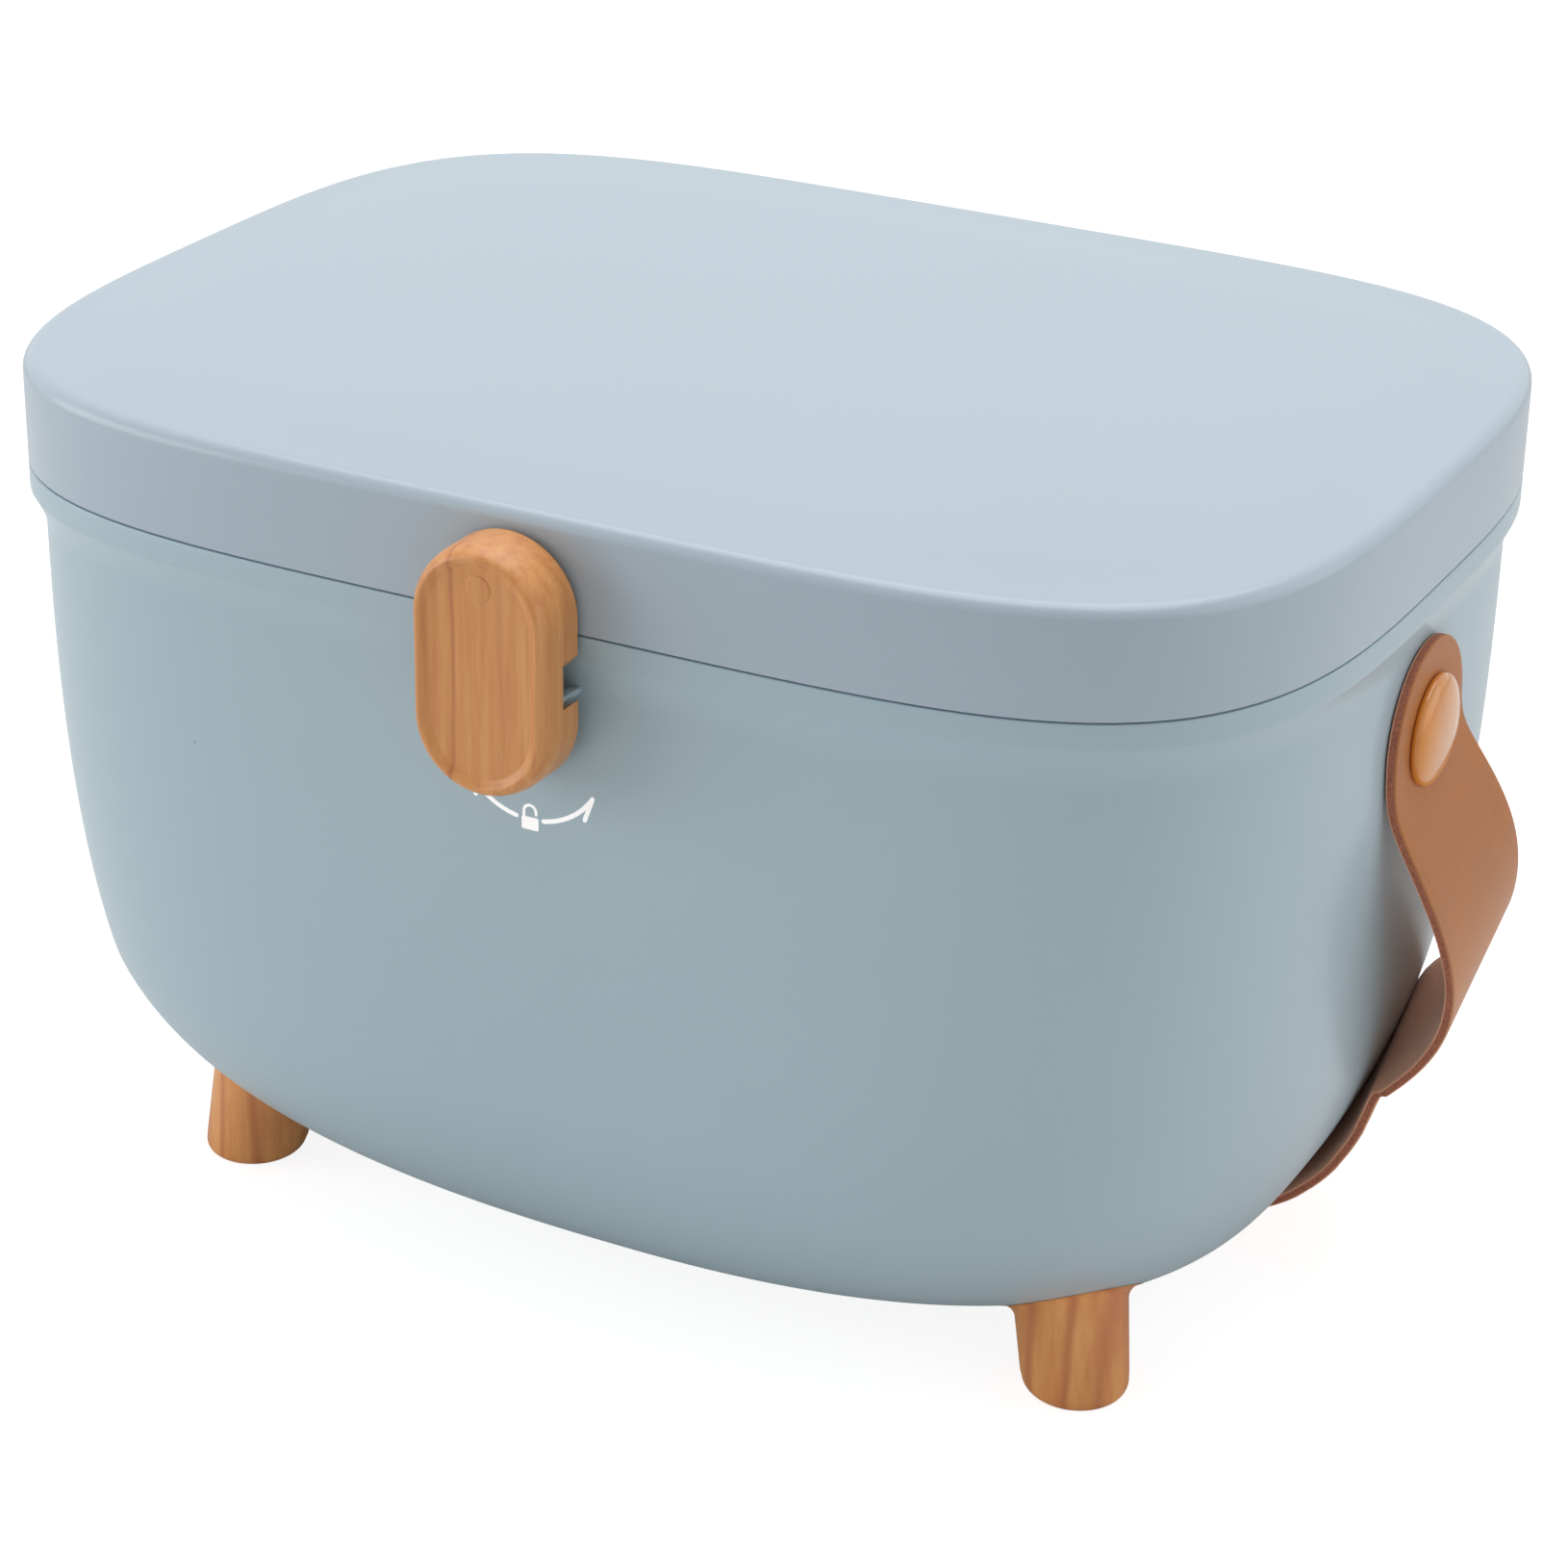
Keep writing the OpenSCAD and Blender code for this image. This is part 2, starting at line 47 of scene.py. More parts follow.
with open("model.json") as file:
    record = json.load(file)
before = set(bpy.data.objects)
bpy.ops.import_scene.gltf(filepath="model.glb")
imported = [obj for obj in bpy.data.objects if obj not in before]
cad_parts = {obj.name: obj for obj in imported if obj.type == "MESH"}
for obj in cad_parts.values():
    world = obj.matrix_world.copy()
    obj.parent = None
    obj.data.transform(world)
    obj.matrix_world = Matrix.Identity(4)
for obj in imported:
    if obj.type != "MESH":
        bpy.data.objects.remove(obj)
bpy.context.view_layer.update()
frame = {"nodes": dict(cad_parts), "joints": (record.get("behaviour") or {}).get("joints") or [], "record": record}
JOINTS = {joint["name"]: joint for joint in frame["joints"]}
MM = 0.001
TINY = 0.01 * MM
SIDES = (-1, 1)
CORNERS = [(first, second) for first in SIDES for second in SIDES]


# Settings


def srgb(red, green, blue):
    """A display colour from 0 to 255 as the linear colour that a shader takes."""
    def linear(level):
        share = level / 255
        return share / 12.92 if share <= 0.04045 else ((share + 0.055) / 1.055) ** 2.4
    return linear(red), linear(green), linear(blue)


def length(name, size, text):
    """A setting in millimetres, kept in metres."""
    return FloatProperty(name=name, description=text, default=size * MM, unit="LENGTH", precision=5)


def angle(name, size, text):
    """A setting in degrees, kept in radians."""
    return FloatProperty(name=name, description=text, default=radians(size), subtype="ANGLE")


def share(name, size, text):
    """A plain number."""
    return FloatProperty(name=name, description=text, default=size, precision=3)


def colour(name, red, green, blue, text):
    """A colour setting, written as it shows on a screen."""
    return FloatVectorProperty(
        name=name, description=text, default=srgb(red, green, blue), subtype="COLOR", min=0, max=1)


class ShellSettings(bpy.types.PropertyGroup):
    """Form of the tub and the lid, beside what the frame gives."""
    wall: length("Wall", 2.4, "Thickness of both shells")
    seam_gap: length("Seam gap", 0.3, "Open gap between the tub's rim and the lid")
    side_power: share("Side squareness", 4.8, "Squareness of the outline along the long sides")
    end_power: share("End squareness", 3.5, "Squareness of the outline along the short sides")
    belly_power: share("Belly squareness", 2, "Squareness of the outline at the bottom of the belly")
    round_rate: share("Rounding rate", 1.9, "Rate at which the outline rounds off downwards")
    band_step: length("Band step", 2.6, "Step from the seam band in to the wall below it")
    band_h: length("Band height", 14.5, "Height of the curved band under the seam")
    band_flat: length("Band flat", 5.4, "Height of the upright part of that band, down to its soft crease")
    end_draw: length("End draw", 52, "How far each short end draws in towards the belly")
    end_curve: share("End curve", 2.9, "Curve of the short ends")
    side_draw: length("Side draw", 35, "How far the long sides draw in towards the belly")
    side_curve_h: length("Side curve height", 47, "Height over which the long sides draw in")
    side_curve: share("Side curve", 1.4, "Curve of the long sides where they draw in")
    lip_h: length("Lip height", 4, "Height of the locating lip inside the lid")
    lip_t: length("Lip thickness", 1.6, "Thickness of the locating lip")
    lip_gap: length("Lip clearance", 0.4, "Clearance between the lip and the lid")
    edge_r: length("Lid edge radius", 3, "Radius of the lid's top edge")
    crown_w: length("Crown width", 26, "Width over which the lid's top falls off to its edge")
    crown: length("Crown height", 0.8, "Height of the lid's middle above its edge")
    rim_r: length("Rim radius", 0.4, "Radius of the two edges at the seam")
    sides: IntProperty(name="Sides", description="Points in each outline", default=256)
    levels: IntProperty(name="Levels", description="Outlines in the curved wall", default=56)


class FittingSettings(bpy.types.PropertyGroup):
    """Hinge knuckles, catch, bosses and ribs moulded on the shells."""
    hinge_x: length("Hinge place", 62, "Distance of each hinge from the middle")
    hinge_len: length("Hinge length", 30, "Length of a hinge over its three knuckles")
    mid_len: length("Middle knuckle", 14, "Length of the lid's knuckle")
    knuckle_r: length("Knuckle radius", 4.4, "Outer radius of the knuckles")
    knuckle_gap: length("Knuckle gap", 0.3, "Side gap between knuckles")
    run_gap: length("Running gap", 0.05, "Clearance round the pins")
    catch_r: length("Catch radius", 23.4, "Inner radius of the curved catch round the pivot")
    catch_t: length("Catch thickness", 2.5, "Thickness of the catch")
    catch_out: length("Catch reach", 5.3, "Reach of the catch in front of the knob's back")
    catch_half: angle("Catch half angle", 34, "Half the angle that the catch spans")
    catch_point: angle("Catch point", 4, "Angle over which each end of the catch comes to a point")
    boss_r: length("Boss radius", 6, "Radius of the bosses over the feet")
    boss_up: length("Boss height", 17, "Height of the bosses above the belly")
    rib_t: length("Rib thickness", 3, "Thickness of the ribs under the tray")
    rib_h: length("Rib height", 22, "Height of the ribs under the tray")
    bevel: length("Edge rounding", 0.3, "Rounding of moulded edges")
    tray_bevel: length("Tray rounding", 0.45, "Rounding of the tray's edges")


class KnobSettings(bpy.types.PropertyGroup):
    """Form of the latch knob."""
    straight: length("Straight length", 21.5, "Length of the knob's straight sides")
    round_w: length("Rounding width", 2.2, "Width of the front rounding")
    round_d: length("Rounding depth", 5.5, "Depth of the front rounding")
    rim_w: length("Rim width", 4.4, "Width of the raised rim")
    dish: length("Dish depth", 1.1, "Depth of the recessed face")
    back_r: length("Back rounding", 0.6, "Rounding of the back edge")
    collar_r: length("Collar radius", 5, "Radius of the collar that turns in the lid")
    shank_r: length("Bore radius", 2, "Radius of the bore for the pivot screw")
    shank_d: length("Bore depth", 8, "Depth of that bore")
    bevel: length("Edge rounding", 0.35, "Rounding of the cut edges")
    groove_in: length("Groove radius", 19.2, "Inner radius of the ring groove in the back")
    groove_w: length("Groove width", 7, "Width of the ring groove")
    groove_d: length("Groove depth", 6, "Depth of the ring groove")
    mark_r: length("Pivot mark radius", 2.8, "Radius of the faint moulded disc over the pivot")
    mark_h: length("Pivot mark height", 0.2, "Height of that disc")
    mark_up: length("Pivot mark place", 2.9, "Distance of that disc above the pivot")


class FootSettings(bpy.types.PropertyGroup):
    """Form of the four feet."""
    radius: length("Radius", 11.4, "Radius near the table")
    taper: length("Taper", 1.6, "Growth of the radius up to the belly")
    taper_h: length("Taper height", 40, "Height over which the radius grows")
    edge_r: length("Bottom rounding", 3, "Radius of the rounded bottom edge")
    flare: length("Flare", 3.2, "Flare where the foot meets the belly")
    gap: length("Gap", 0.1, "Gap between the foot and the belly")
    lean: angle("Lean", 10, "Lean outwards at the bottom")
    turn: angle("Turn", 33, "Direction of the lean, from the width towards the depth")


class StrapSettings(bpy.types.PropertyGroup):
    """Form of the carry strap and its buttons."""
    width: length("Width", 39, "Width of the strap")
    thickness: length("Thickness", 2.3, "Thickness of the strap")
    gap: length("Gap", 0.3, "Gap between the strap and what it lies on")
    flat: length("Flat length", 8.5, "Length below the button that lies on the wall")
    bulge: length("Bulge", 14.3, "How far the strap bulges off each short end")
    bulge_len: length("Bulge length", 88, "Drop from the button to where it meets the wall")
    bulge_shape: share("Bulge shape", 1.12, "How low the bulge is fullest, where 1 is halfway")
    tilt: angle("Tilt", 6, "Backward tilt at the button")
    low_tilt: angle("Low tilt", 27, "Backward tilt where the strap meets the wall")
    tilt_rate: share("Tilt rate", 0.65, "How early the strap takes on its low tilt, where 1 is evenly")
    twist: angle("Twist", 2.4, "Turn of the strap's face where it leaves the wall")
    twist_len: length("Twist length", 60, "Length over which that turn comes and goes")
    under_y: length("Place underneath", 23, "Distance behind the middle between the feet")
    ease: length("Ease", 5, "Smoothing of the bends")
    step: length("Step", 1, "Spacing of the places along the strap")
    edge_r: length("Edge rounding", 0.45, "Rounding of the strap's edges")
    button_edge: length("Button edge", 1.5, "Thickness of a button's head at its edge")
    stem_r: length("Stem radius", 3.2, "Radius of a button's stem")


class PrintSettings(bpy.types.PropertyGroup):
    """The printed turning sign under the knob."""
    middle_x: length("Middle", 1.8, "Distance of the sign's middle to the right of the pivot")
    low_z: length("Height", 130.2, "Height of the lowest point of the arc")
    arc_r: length("Arc radius", 17.2, "Radius of the arc")
    line_w: length("Line width", 0.95, "Width of the lines")
    start: angle("Arc start", 10.5, "Angle from the middle at which each arc begins")
    end: angle("Arc end", 56.9, "Angle from the middle at which each arc ends in its arrow")
    ink: length("Ink thickness", 0.06, "Thickness of the print")
    lock_w: length("Padlock width", 3.9, "Width of the padlock's body")
    lock_h: length("Padlock height", 2.8, "Height of the padlock's body")
    lock_r: length("Padlock rounding", 0.35, "Radius of the body's corners")
    leg_h: length("Bow height", 1.2, "Height of the straight part of the padlock's bow")
    barb_in: length("Barb width", 1.8, "Distance that each arrow's barb reaches inwards")
    barb_h: length("Barb height", 5, "Distance that each arrow's barb reaches down")


class FinishSettings(bpy.types.PropertyGroup):
    """Colours of the object."""
    tub: colour("Tub", 171, 193, 202, "Tub plastic")
    lid: colour("Lid", 173, 189, 200, "Lid plastic")
    tray: colour("Tray", 228, 231, 233, "Tray plastic")
    wood_light: colour("Wood light", 226, 163, 99, "Light grain of the wood look")
    wood_mid: colour("Wood middle", 218, 150, 86, "Main tone of the wood look")
    wood_dark: colour("Wood dark", 204, 130, 72, "Dark grain of the wood look")
    streak: colour("Streak", 176, 96, 58, "Redder streaks of the wood look")
    # Painted light: the feet's wood is made lighter than the knob's, standing in for the light that the low part
    # of the box gets from the floor.
    foot_painted_light: share("Feet's lightness", 1.2, "Lightness of the feet's wood look against the knob's")
    button: colour("Button", 222, 140, 44, "Glossy buttons")
    leather: colour("Leather", 182, 114, 60, "Smooth face of the strap")
    leather_edge: colour("Leather edge", 172, 102, 76, "Cut edge of the strap")
    # Painted reflection: the strap's face fades to this paler tone low down, standing in for the pale floor that
    # it reflects where it bends under the belly.
    leather_low_painted_light: colour("Leather below", 222, 162, 126, "Leather face where it bends under the belly")
    # Partly painted light: the strap's back is given a tone much paler than its own, to stand in for the light
    # that it misses in the shade.
    suede: colour("Suede", 236, 168, 134, "Rough back of the strap")
    steel: colour("Steel", 190, 190, 192, "Pins, screws and washers")
    ink: colour("Ink", 252, 252, 252, "Printed sign")


class StageSettings(bpy.types.PropertyGroup):
    """Camera, floor and lamps."""
    azimuth: angle("Azimuth", 27.3, "Camera's turn to the right of the front")
    elevation: angle("Elevation", 25.08, "Camera's height above the horizon")
    roll: angle("Roll", 1, "Camera's roll")
    distance: length("Distance", 930.8, "Camera's distance from its target")
    target: FloatVectorProperty(
        name="Target", description="Point that the camera looks at",
        default=(2.3 * MM, 0, 94 * MM), subtype="TRANSLATION")
    lens_px: share("Focal length", 4320.5, "Focal length in pixels of the photograph")
    image_px: share("Image width", 1630, "Width of the photograph in pixels")
    centre_px: share("Optical centre", 813.4, "Horizontal place of the optical axis in pixels")
    fill: share("Fill", 0.38, "Brightness of the surroundings as light")
    top: share("Top lamp", 15, "Power of the lamp overhead")
    left: share("Left lamp", 11.5, "Power of the lamp on the left")
    right: share("Right lamp", 8.2, "Power of the lamp on the right")
    floor_white: share("Floor white", 1.45, "Brightness that the camera sees in the floor beside its shading")


# Modelling by hand


def only(*objects):
    """Selects these objects and nothing else, and makes the first one active."""
    bpy.ops.object.select_all(action="DESELECT")
    for obj in objects:
        obj.select_set(True)
    bpy.context.view_layer.objects.active = objects[0]


@contextmanager
def editing(obj):
    """Edit mode with everything in the mesh selected."""
    only(obj)
    bpy.ops.object.mode_set(mode="EDIT")
    bpy.ops.mesh.select_all(action="SELECT")
    yield bmesh.from_edit_mesh(obj.data)
    bpy.ops.object.mode_set(mode="OBJECT")


def named(name):
    """The object that was just added, under its name."""
    obj = bpy.context.active_object
    obj.name = name
    obj.data.name = name
    return obj


def smoothed(obj, sharp=35):
    only(obj)
    bpy.ops.object.shade_smooth_by_angle(angle=radians(sharp))
    return obj


def closed(obj):
    """Closes the open ends of a skin and turns its faces outwards."""
    with editing(obj):
        bpy.ops.mesh.remove_doubles(threshold=TINY / 10)
        bpy.ops.mesh.fill_holes(sides=0)
        bpy.ops.mesh.normals_make_consistent(inside=False)
    return smoothed(obj)


def skin(name, rings, ring_of_rings=False):
    """A closed skin over a row of outlines with as many points each. It starts as a grid."""
    count = len(rings[0])
    rows = rings + rings[:1] if ring_of_rings else rings
    steps = len(rows) - 1
    bpy.ops.object.select_all(action="DESELECT")
    bpy.ops.mesh.primitive_grid_add(x_subdivisions=count, y_subdivisions=steps, size=1)
    obj = named(name)
    for vertex in obj.data.vertices:
        across = round((vertex.co.x + 0.5) * count) % count
        along = round((vertex.co.y + 0.5) * steps)
        vertex.co = rows[along][across]
    return closed(obj)


def modified(obj, kind, **settings):
    """Adds a modifier, sets it and applies it."""
    only(obj)
    modifier = obj.modifiers.new(kind.title(), kind)
    for name, value in settings.items():
        setattr(modifier, name, value)
    bpy.ops.object.modifier_apply(modifier=modifier.name)
    return obj


def combined(obj, tool, operation):
    """Adds the tool's solid to obj, or takes it away, and removes the tool."""
    modified(obj, "BOOLEAN", object=tool, operation=operation, solver="EXACT")
    bpy.data.objects.remove(tool)
    return obj


def bevelled(obj, width, segments=3, sharp=40):
    return modified(
        obj, "BEVEL", width=width, segments=segments, limit_method="ANGLE", angle_limit=radians(sharp))


def joined(parts):
    """Joins meshes into one object, the first of them."""
    first, *others = parts
    for part in others:
        only(first, part)
        bpy.ops.object.join()
    return first


def circle(centre, axis, radius, count):
    """Points round a centre, square to an axis."""
    turn = axis.to_track_quat("Z", "Y").to_matrix()
    return [
        centre + turn @ Vector((radius * cos(2 * pi * k / count), radius * sin(2 * pi * k / count), 0))
        for k in range(count)]


def turned(name, base, axis, profile, count=64, ring_of_rings=False):
    """A solid of revolution from a profile of (radius, height) along the axis."""
    axis = Vector(axis).normalized()
    rings = [circle(Vector(base) + axis * height, axis, radius, count) for radius, height in profile]
    return skin(name, rings, ring_of_rings)


def prism(name, outline, reach):
    """A flat outline of points, drawn out by the vector reach."""
    bpy.ops.object.select_all(action="DESELECT")
    bpy.ops.mesh.primitive_circle_add(vertices=len(outline), radius=1, fill_type="NGON")
    obj = named(name)
    for vertex, point in zip(obj.data.vertices, outline):
        vertex.co = point
    with editing(obj):
        bpy.ops.mesh.extrude_region_move(TRANSFORM_OT_translate={"value": reach})
        bpy.ops.mesh.select_all(action="SELECT")
        bpy.ops.mesh.normals_make_consistent(inside=False)
    return obj


def quarter(steps):
    """Angles of a quarter turn."""
    return [pi / 2 * k / steps for k in range(steps + 1)]


def clamp(value):
    return min(1, max(0, value))


def soft_step(value):
    value = clamp(value)
    return value * value * (3 - 2 * value)


def finished(obj, material, body, replaces=()):
    """Gives a piece its material and its body, and hides the nodes that it stands for."""
    if material:
        obj.data.materials.clear()
        obj.data.materials.append(material)
    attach(obj, body)
    if replaces:
        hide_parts(*replaces)
    return obj


# Form of the shells


def signed_power(value, power):
    return abs(value) ** power * (1 if value >= 0 else -1)


def oval(half_x, half_y, side_power, end_power, count):
    """An outline between an oval and a rectangle, with its points spread evenly."""
    spread = (side_power + end_power) / 4
    points = []
    for k in range(count):
        turn = 2 * pi * k / count
        t = atan2(signed_power(sin(turn), spread), signed_power(cos(turn), spread))
        points.append((half_x * signed_power(cos(t), 2 / side_power),
                       half_y * signed_power(sin(t), 2 / end_power)))
    return points


def draw_in(depth, power):
    """A curve that starts upright at 0 and ends flat at 1."""
    return 1 - (1 - clamp(depth) ** power) ** (1 / power)


class Form:
    """The double-curved form of the box, from the frame and the shell settings."""

    def __init__(self, shape):
        self.shape = shape
        tub_low, tub_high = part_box("body_shell")
        lid_low, lid_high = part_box("lid")
        self.half_w = tub_high.x
        self.half_d = -lid_low.y
        self.belly_z = tub_low.z
        self.top_z = lid_high.z
        _, self.hinge_y, self.seam_z = JOINTS["lid_hinge"]["pos_m"]
        self.band_z = self.seam_z - shape.band_h
        self.depth = self.band_z - self.belly_z

    def end_inset(self, depth):
        return self.shape.band_step + self.shape.end_draw * draw_in(depth / self.depth, self.shape.end_curve)

    def side_inset(self, depth):
        shape = self.shape
        below = (depth - self.depth + shape.side_curve_h) / shape.side_curve_h
        return shape.band_step + shape.side_draw * draw_in(below, shape.side_curve)

    def power(self, depth, start):
        eased = draw_in(depth / self.depth, self.shape.round_rate)
        return start + (self.shape.belly_power - start) * eased

    def ring(self, inset, z):
        """The outline at the seam and above it."""
        shape = self.shape
        points = oval(
            self.half_w - inset, self.half_d - inset, shape.side_power, shape.end_power, shape.sides)
        return [Vector((x, y, z)) for x, y in points]

    def wall_ring(self, level, inset, lift):
        """The outline at a level from 0 at the band to 1 at the belly."""
        shape = self.shape
        depth = self.depth * level
        points = oval(
            self.half_w - self.end_inset(depth) - inset, self.half_d - self.side_inset(depth) - inset,
            self.power(depth, shape.side_power), self.power(depth, shape.end_power), shape.sides)
        return [Vector((x, y, self.band_z - depth + lift * level)) for x, y in points]

    def wall_rings(self, inset, lift):
        levels = self.shape.levels
        return [self.wall_ring(sin(pi / 2 * k / levels), inset, lift) for k in range(levels + 1)]

    def band_rings(self, steps=12, upright=0.8 * MM):
        """The band's soft crease, and one outline on the upright part above it."""
        shape = self.shape
        curved = shape.band_h - shape.band_flat
        rings = [
            self.ring(shape.band_step * cos(pi / 2 * k / steps), self.band_z + curved * k / steps)
            for k in range(1, steps + 1)]
        return rings + [self.ring(0, self.band_z + curved + upright)]

    def end_x(self, z):
        """Distance of the short ends from the middle."""
        return self.half_w - self.end_inset(self.band_z - z)

    def side_y(self, z):
        """Distance of the long sides from the middle."""
        return self.half_d - self.side_inset(self.band_z - z)

    def wall_x(self, y, z):
        """Distance of the short ends from the middle plane at a place along the depth."""
        along = abs(y) / self.side_y(z)
        return self.end_x(z) * self.rest(along, self.powers(z)[::-1])

    def powers(self, z):
        depth = self.band_z - z
        return self.power(depth, self.shape.side_power), self.power(depth, self.shape.end_power)

    @staticmethod
    def rest(share, powers):
        """The other share of a place on the outline."""
        first, second = powers
        return (1 - min(share, 1) ** first) ** (1 / second)

    def rim_y(self, x):
        """Distance of the long sides from the middle plane at a place along the width."""
        return self.half_d * self.rest(abs(x) / self.half_w, (self.shape.side_power, self.shape.end_power))

    def inside(self, point):
        """True for a point inside the tub's outer skin, below the band."""
        if point.z < self.belly_z:
            return False
        side_power, end_power = self.powers(point.z)
        across = abs(point.x) / self.end_x(point.z)
        along = abs(point.y) / self.side_y(point.z)
        return across ** side_power + along ** end_power < 1

    def halved(self, start, direction, far, inwards):
        """Two distances from start, a hair apart, between which a line passes the tub's skin."""
        near = 0
        for _ in range(40):
            middle = (near + far) / 2
            if self.inside(start + direction * middle) == inwards:
                far = middle
            else:
                near = middle
        return near, far

    def leaves(self, start, direction):
        """Distance from a start inside the tub at which a line leaves its skin."""
        return self.halved(start, direction, 2 * self.half_w, False)[1]

    def meets(self, start, direction, far):
        """Distance from start at which a line enters the tub."""
        return self.halved(start, direction, far, True)[0]


def form():
    return Form(bpy.context.scene.box_shell)


# Shells


def tub_shell(box):
    shape = box.shape
    seam = box.seam_z
    lip_in = shape.wall + shape.lip_gap
    lip_inner = lip_in + shape.lip_t
    lip_top = seam + shape.lip_h
    rim = [box.ring(shape.rim_r * (1 - cos(a)), seam - shape.rim_r * (1 - sin(a))) for a in quarter(4)]
    lip = [
        box.ring(lip_in, seam),
        box.ring(lip_in, lip_top - shape.rim_r),
        box.ring(lip_in + shape.rim_r, lip_top),
        box.ring(lip_inner - shape.rim_r, lip_top),
        box.ring(lip_inner, lip_top - shape.rim_r),
        box.ring(lip_inner, seam - shape.lip_h),
        box.ring(shape.wall + shape.band_step, seam - 2 * shape.lip_h)]
    outer = box.wall_rings(0, 0)[::-1]
    return skin("tub_shell", outer + box.band_rings() + rim + lip + box.wall_rings(shape.wall, shape.wall))


def lid_shell(box):
    shape = box.shape
    foot = box.seam_z + shape.seam_gap
    edge_z = box.top_z - shape.crown - shape.edge_r
    ceiling = box.top_z - shape.crown - shape.wall
    inside = [
        box.ring(shape.wall + shape.edge_r, ceiling),
        box.ring(shape.wall + shape.rim_r, ceiling),
        box.ring(shape.wall, ceiling - shape.rim_r),
        box.ring(shape.wall, foot + shape.rim_r / 2),
        box.ring(shape.wall - shape.rim_r / 2, foot)]
    rim = [box.ring(shape.rim_r * (1 - cos(a)), foot + shape.rim_r * (1 - sin(a))) for a in quarter(4)[::-1]]
    edge = [
        box.ring(shape.edge_r * (1 - cos(a)), edge_z + shape.edge_r * sin(a))
        for a in quarter(10)]
    steps = 14
    crown = [
        box.ring(shape.edge_r + shape.crown_w * k / steps,
                 box.top_z - shape.crown * (1 + cos(pi * k / steps)) / 2)
        for k in range(1, steps + 1)]
    return skin("lid_shell", inside + rim + edge + crown)


def knuckle(name, box, start, end, up):
    """One hinge knuckle and the web that carries it."""
    fitting = bpy.context.scene.box_fitting
    radius = fitting.knuckle_r
    pin_r = (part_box("hinge_pin_right")[1].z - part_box("hinge_pin_right")[0].z) / 2
    root = box.rim_y(max(abs(start), abs(end))) - box.shape.wall / 3
    web = radius - pin_r
    near = up * box.shape.seam_gap
    outline = [(root, near), (box.hinge_y, near), (box.hinge_y + web, up * web), (root, up * 2 * radius)]
    reach = Vector((end - start, 0, 0))
    axis_start = Vector((start, box.hinge_y, box.seam_z))
    barrel = turned(name, axis_start, reach, [(radius, 0), (radius, reach.length)])
    arm = prism("arm", [Vector((start, y, box.seam_z + z)) for y, z in outline], reach)
    combined(barrel, arm, "UNION")
    bore_r = pin_r + (fitting.run_gap if up > 0 else 0)
    bore = turned("bore", axis_start - reach, reach, [(bore_r, 0), (bore_r, 3 * reach.length)])
    combined(barrel, bore, "DIFFERENCE")
    return smoothed(bevelled(barrel, fitting.bevel, 2))


def knuckles(name, box, spans, up):
    """All the knuckles of one shell, as one piece."""
    ends = [sorted((side * start, side * end)) for start, end in spans for side in SIDES]
    return joined([knuckle(name, box, low, high, up) for low, high in ends])


def catch_rib(box):
    """The curved rib that the knob's groove slides over, with pointed ends."""
    fitting = bpy.context.scene.box_fitting
    pivot = Vector(JOINTS["latch_swing"]["pos_m"])
    root_y = -box.half_d + box.shape.band_step + box.shape.wall / 2
    tip_y = pivot.y - fitting.catch_out
    middle = fitting.catch_r + fitting.catch_t / 2
    slim = 0.25
    slope = 0.3
    rings = []
    steps = 40
    for k in range(steps + 1):
        turn = fitting.catch_half * (2 * k / steps - 1)
        left = clamp((fitting.catch_half - abs(turn)) / fitting.catch_point)
        half = fitting.catch_t / 2 * (slim + (1 - slim) * left)
        front = tip_y + (root_y - tip_y) * slope * (1 - left)
        rings.append([
            pivot + Vector((radius * sin(turn), y - pivot.y, -radius * cos(turn)))
            for radius, y in ((middle - half, root_y), (middle + half, root_y),
                              (middle + half, front), (middle - half, front))])
    return smoothed(bevelled(skin("catch_rib", rings), fitting.bevel))


def foot_axis(x_sign, y_sign):
    """Where a foot's axis leaves the table, and its direction upwards."""
    foot = bpy.context.scene.box_foot
    mount = next(m for m in frame["record"]["mounts"] if m["name"] == "foot_rest")
    x, y, z = (abs(v) for v in mount["pos_m"])
    turn = (x_sign * cos(foot.turn), y_sign * sin(foot.turn))
    up = Vector((-sin(foot.lean) * turn[0], -sin(foot.lean) * turn[1], cos(foot.lean)))
    return Vector((x_sign * x, y_sign * y, z)), up


def foot_bosses(box):
    """The four bosses inside the tub that carry the foot screws."""
    fitting = bpy.context.scene.box_fitting
    top = box.belly_z + fitting.boss_up
    steps = 4
    bosses = []
    for x_sign, y_sign in CORNERS:
        base, up = foot_axis(x_sign, y_sign)
        lines = []
        for point in circle(base, up, fitting.boss_r, 48):
            low = box.meets(point, up, top) + box.shape.wall / 2
            lines.append([point + up * (low + (top - low) * k / steps) for k in range(steps + 1)])
        rings = [list(ring) for ring in zip(*lines)]
        bosses.append(bevelled(skin("foot_bosses", rings), fitting.bevel, 2))
    return smoothed(joined(bosses))


def tray_ribs(box):
    """The ribs on the tub's wall that carry the tray."""
    fitting = bpy.context.scene.box_fitting
    tray_low, tray_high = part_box("tray")
    top = tray_low.z
    low = top - fitting.rib_h
    thick = fitting.rib_t
    half = thick / 2
    bend = box.half_d - box.rim_y(fitting.hinge_x)

    def outline(wall_at, reach, back):
        inner = box.shape.wall / 2 + back
        return [(wall_at(low) - inner, low), (wall_at(top) - inner, top), (reach, top)]

    ribs = []
    for side in SIDES:
        points = [Vector((side * x, -half, z)) for x, z in outline(box.end_x, tray_high.x - 2 * thick, 0)]
        ribs.append(prism("tray_ribs", points, Vector((0, thick, 0))))
    for y_side, x_side in CORNERS:
        left = x_side * fitting.hinge_x - half
        points = [
            Vector((left, y_side * y, z)) for y, z in outline(box.side_y, tray_high.y - 3 * thick, bend)]
        ribs.append(prism("tray_ribs", points, Vector((thick, 0, 0))))
    return smoothed(joined([bevelled(rib, fitting.bevel, 2) for rib in ribs]))


# Latch


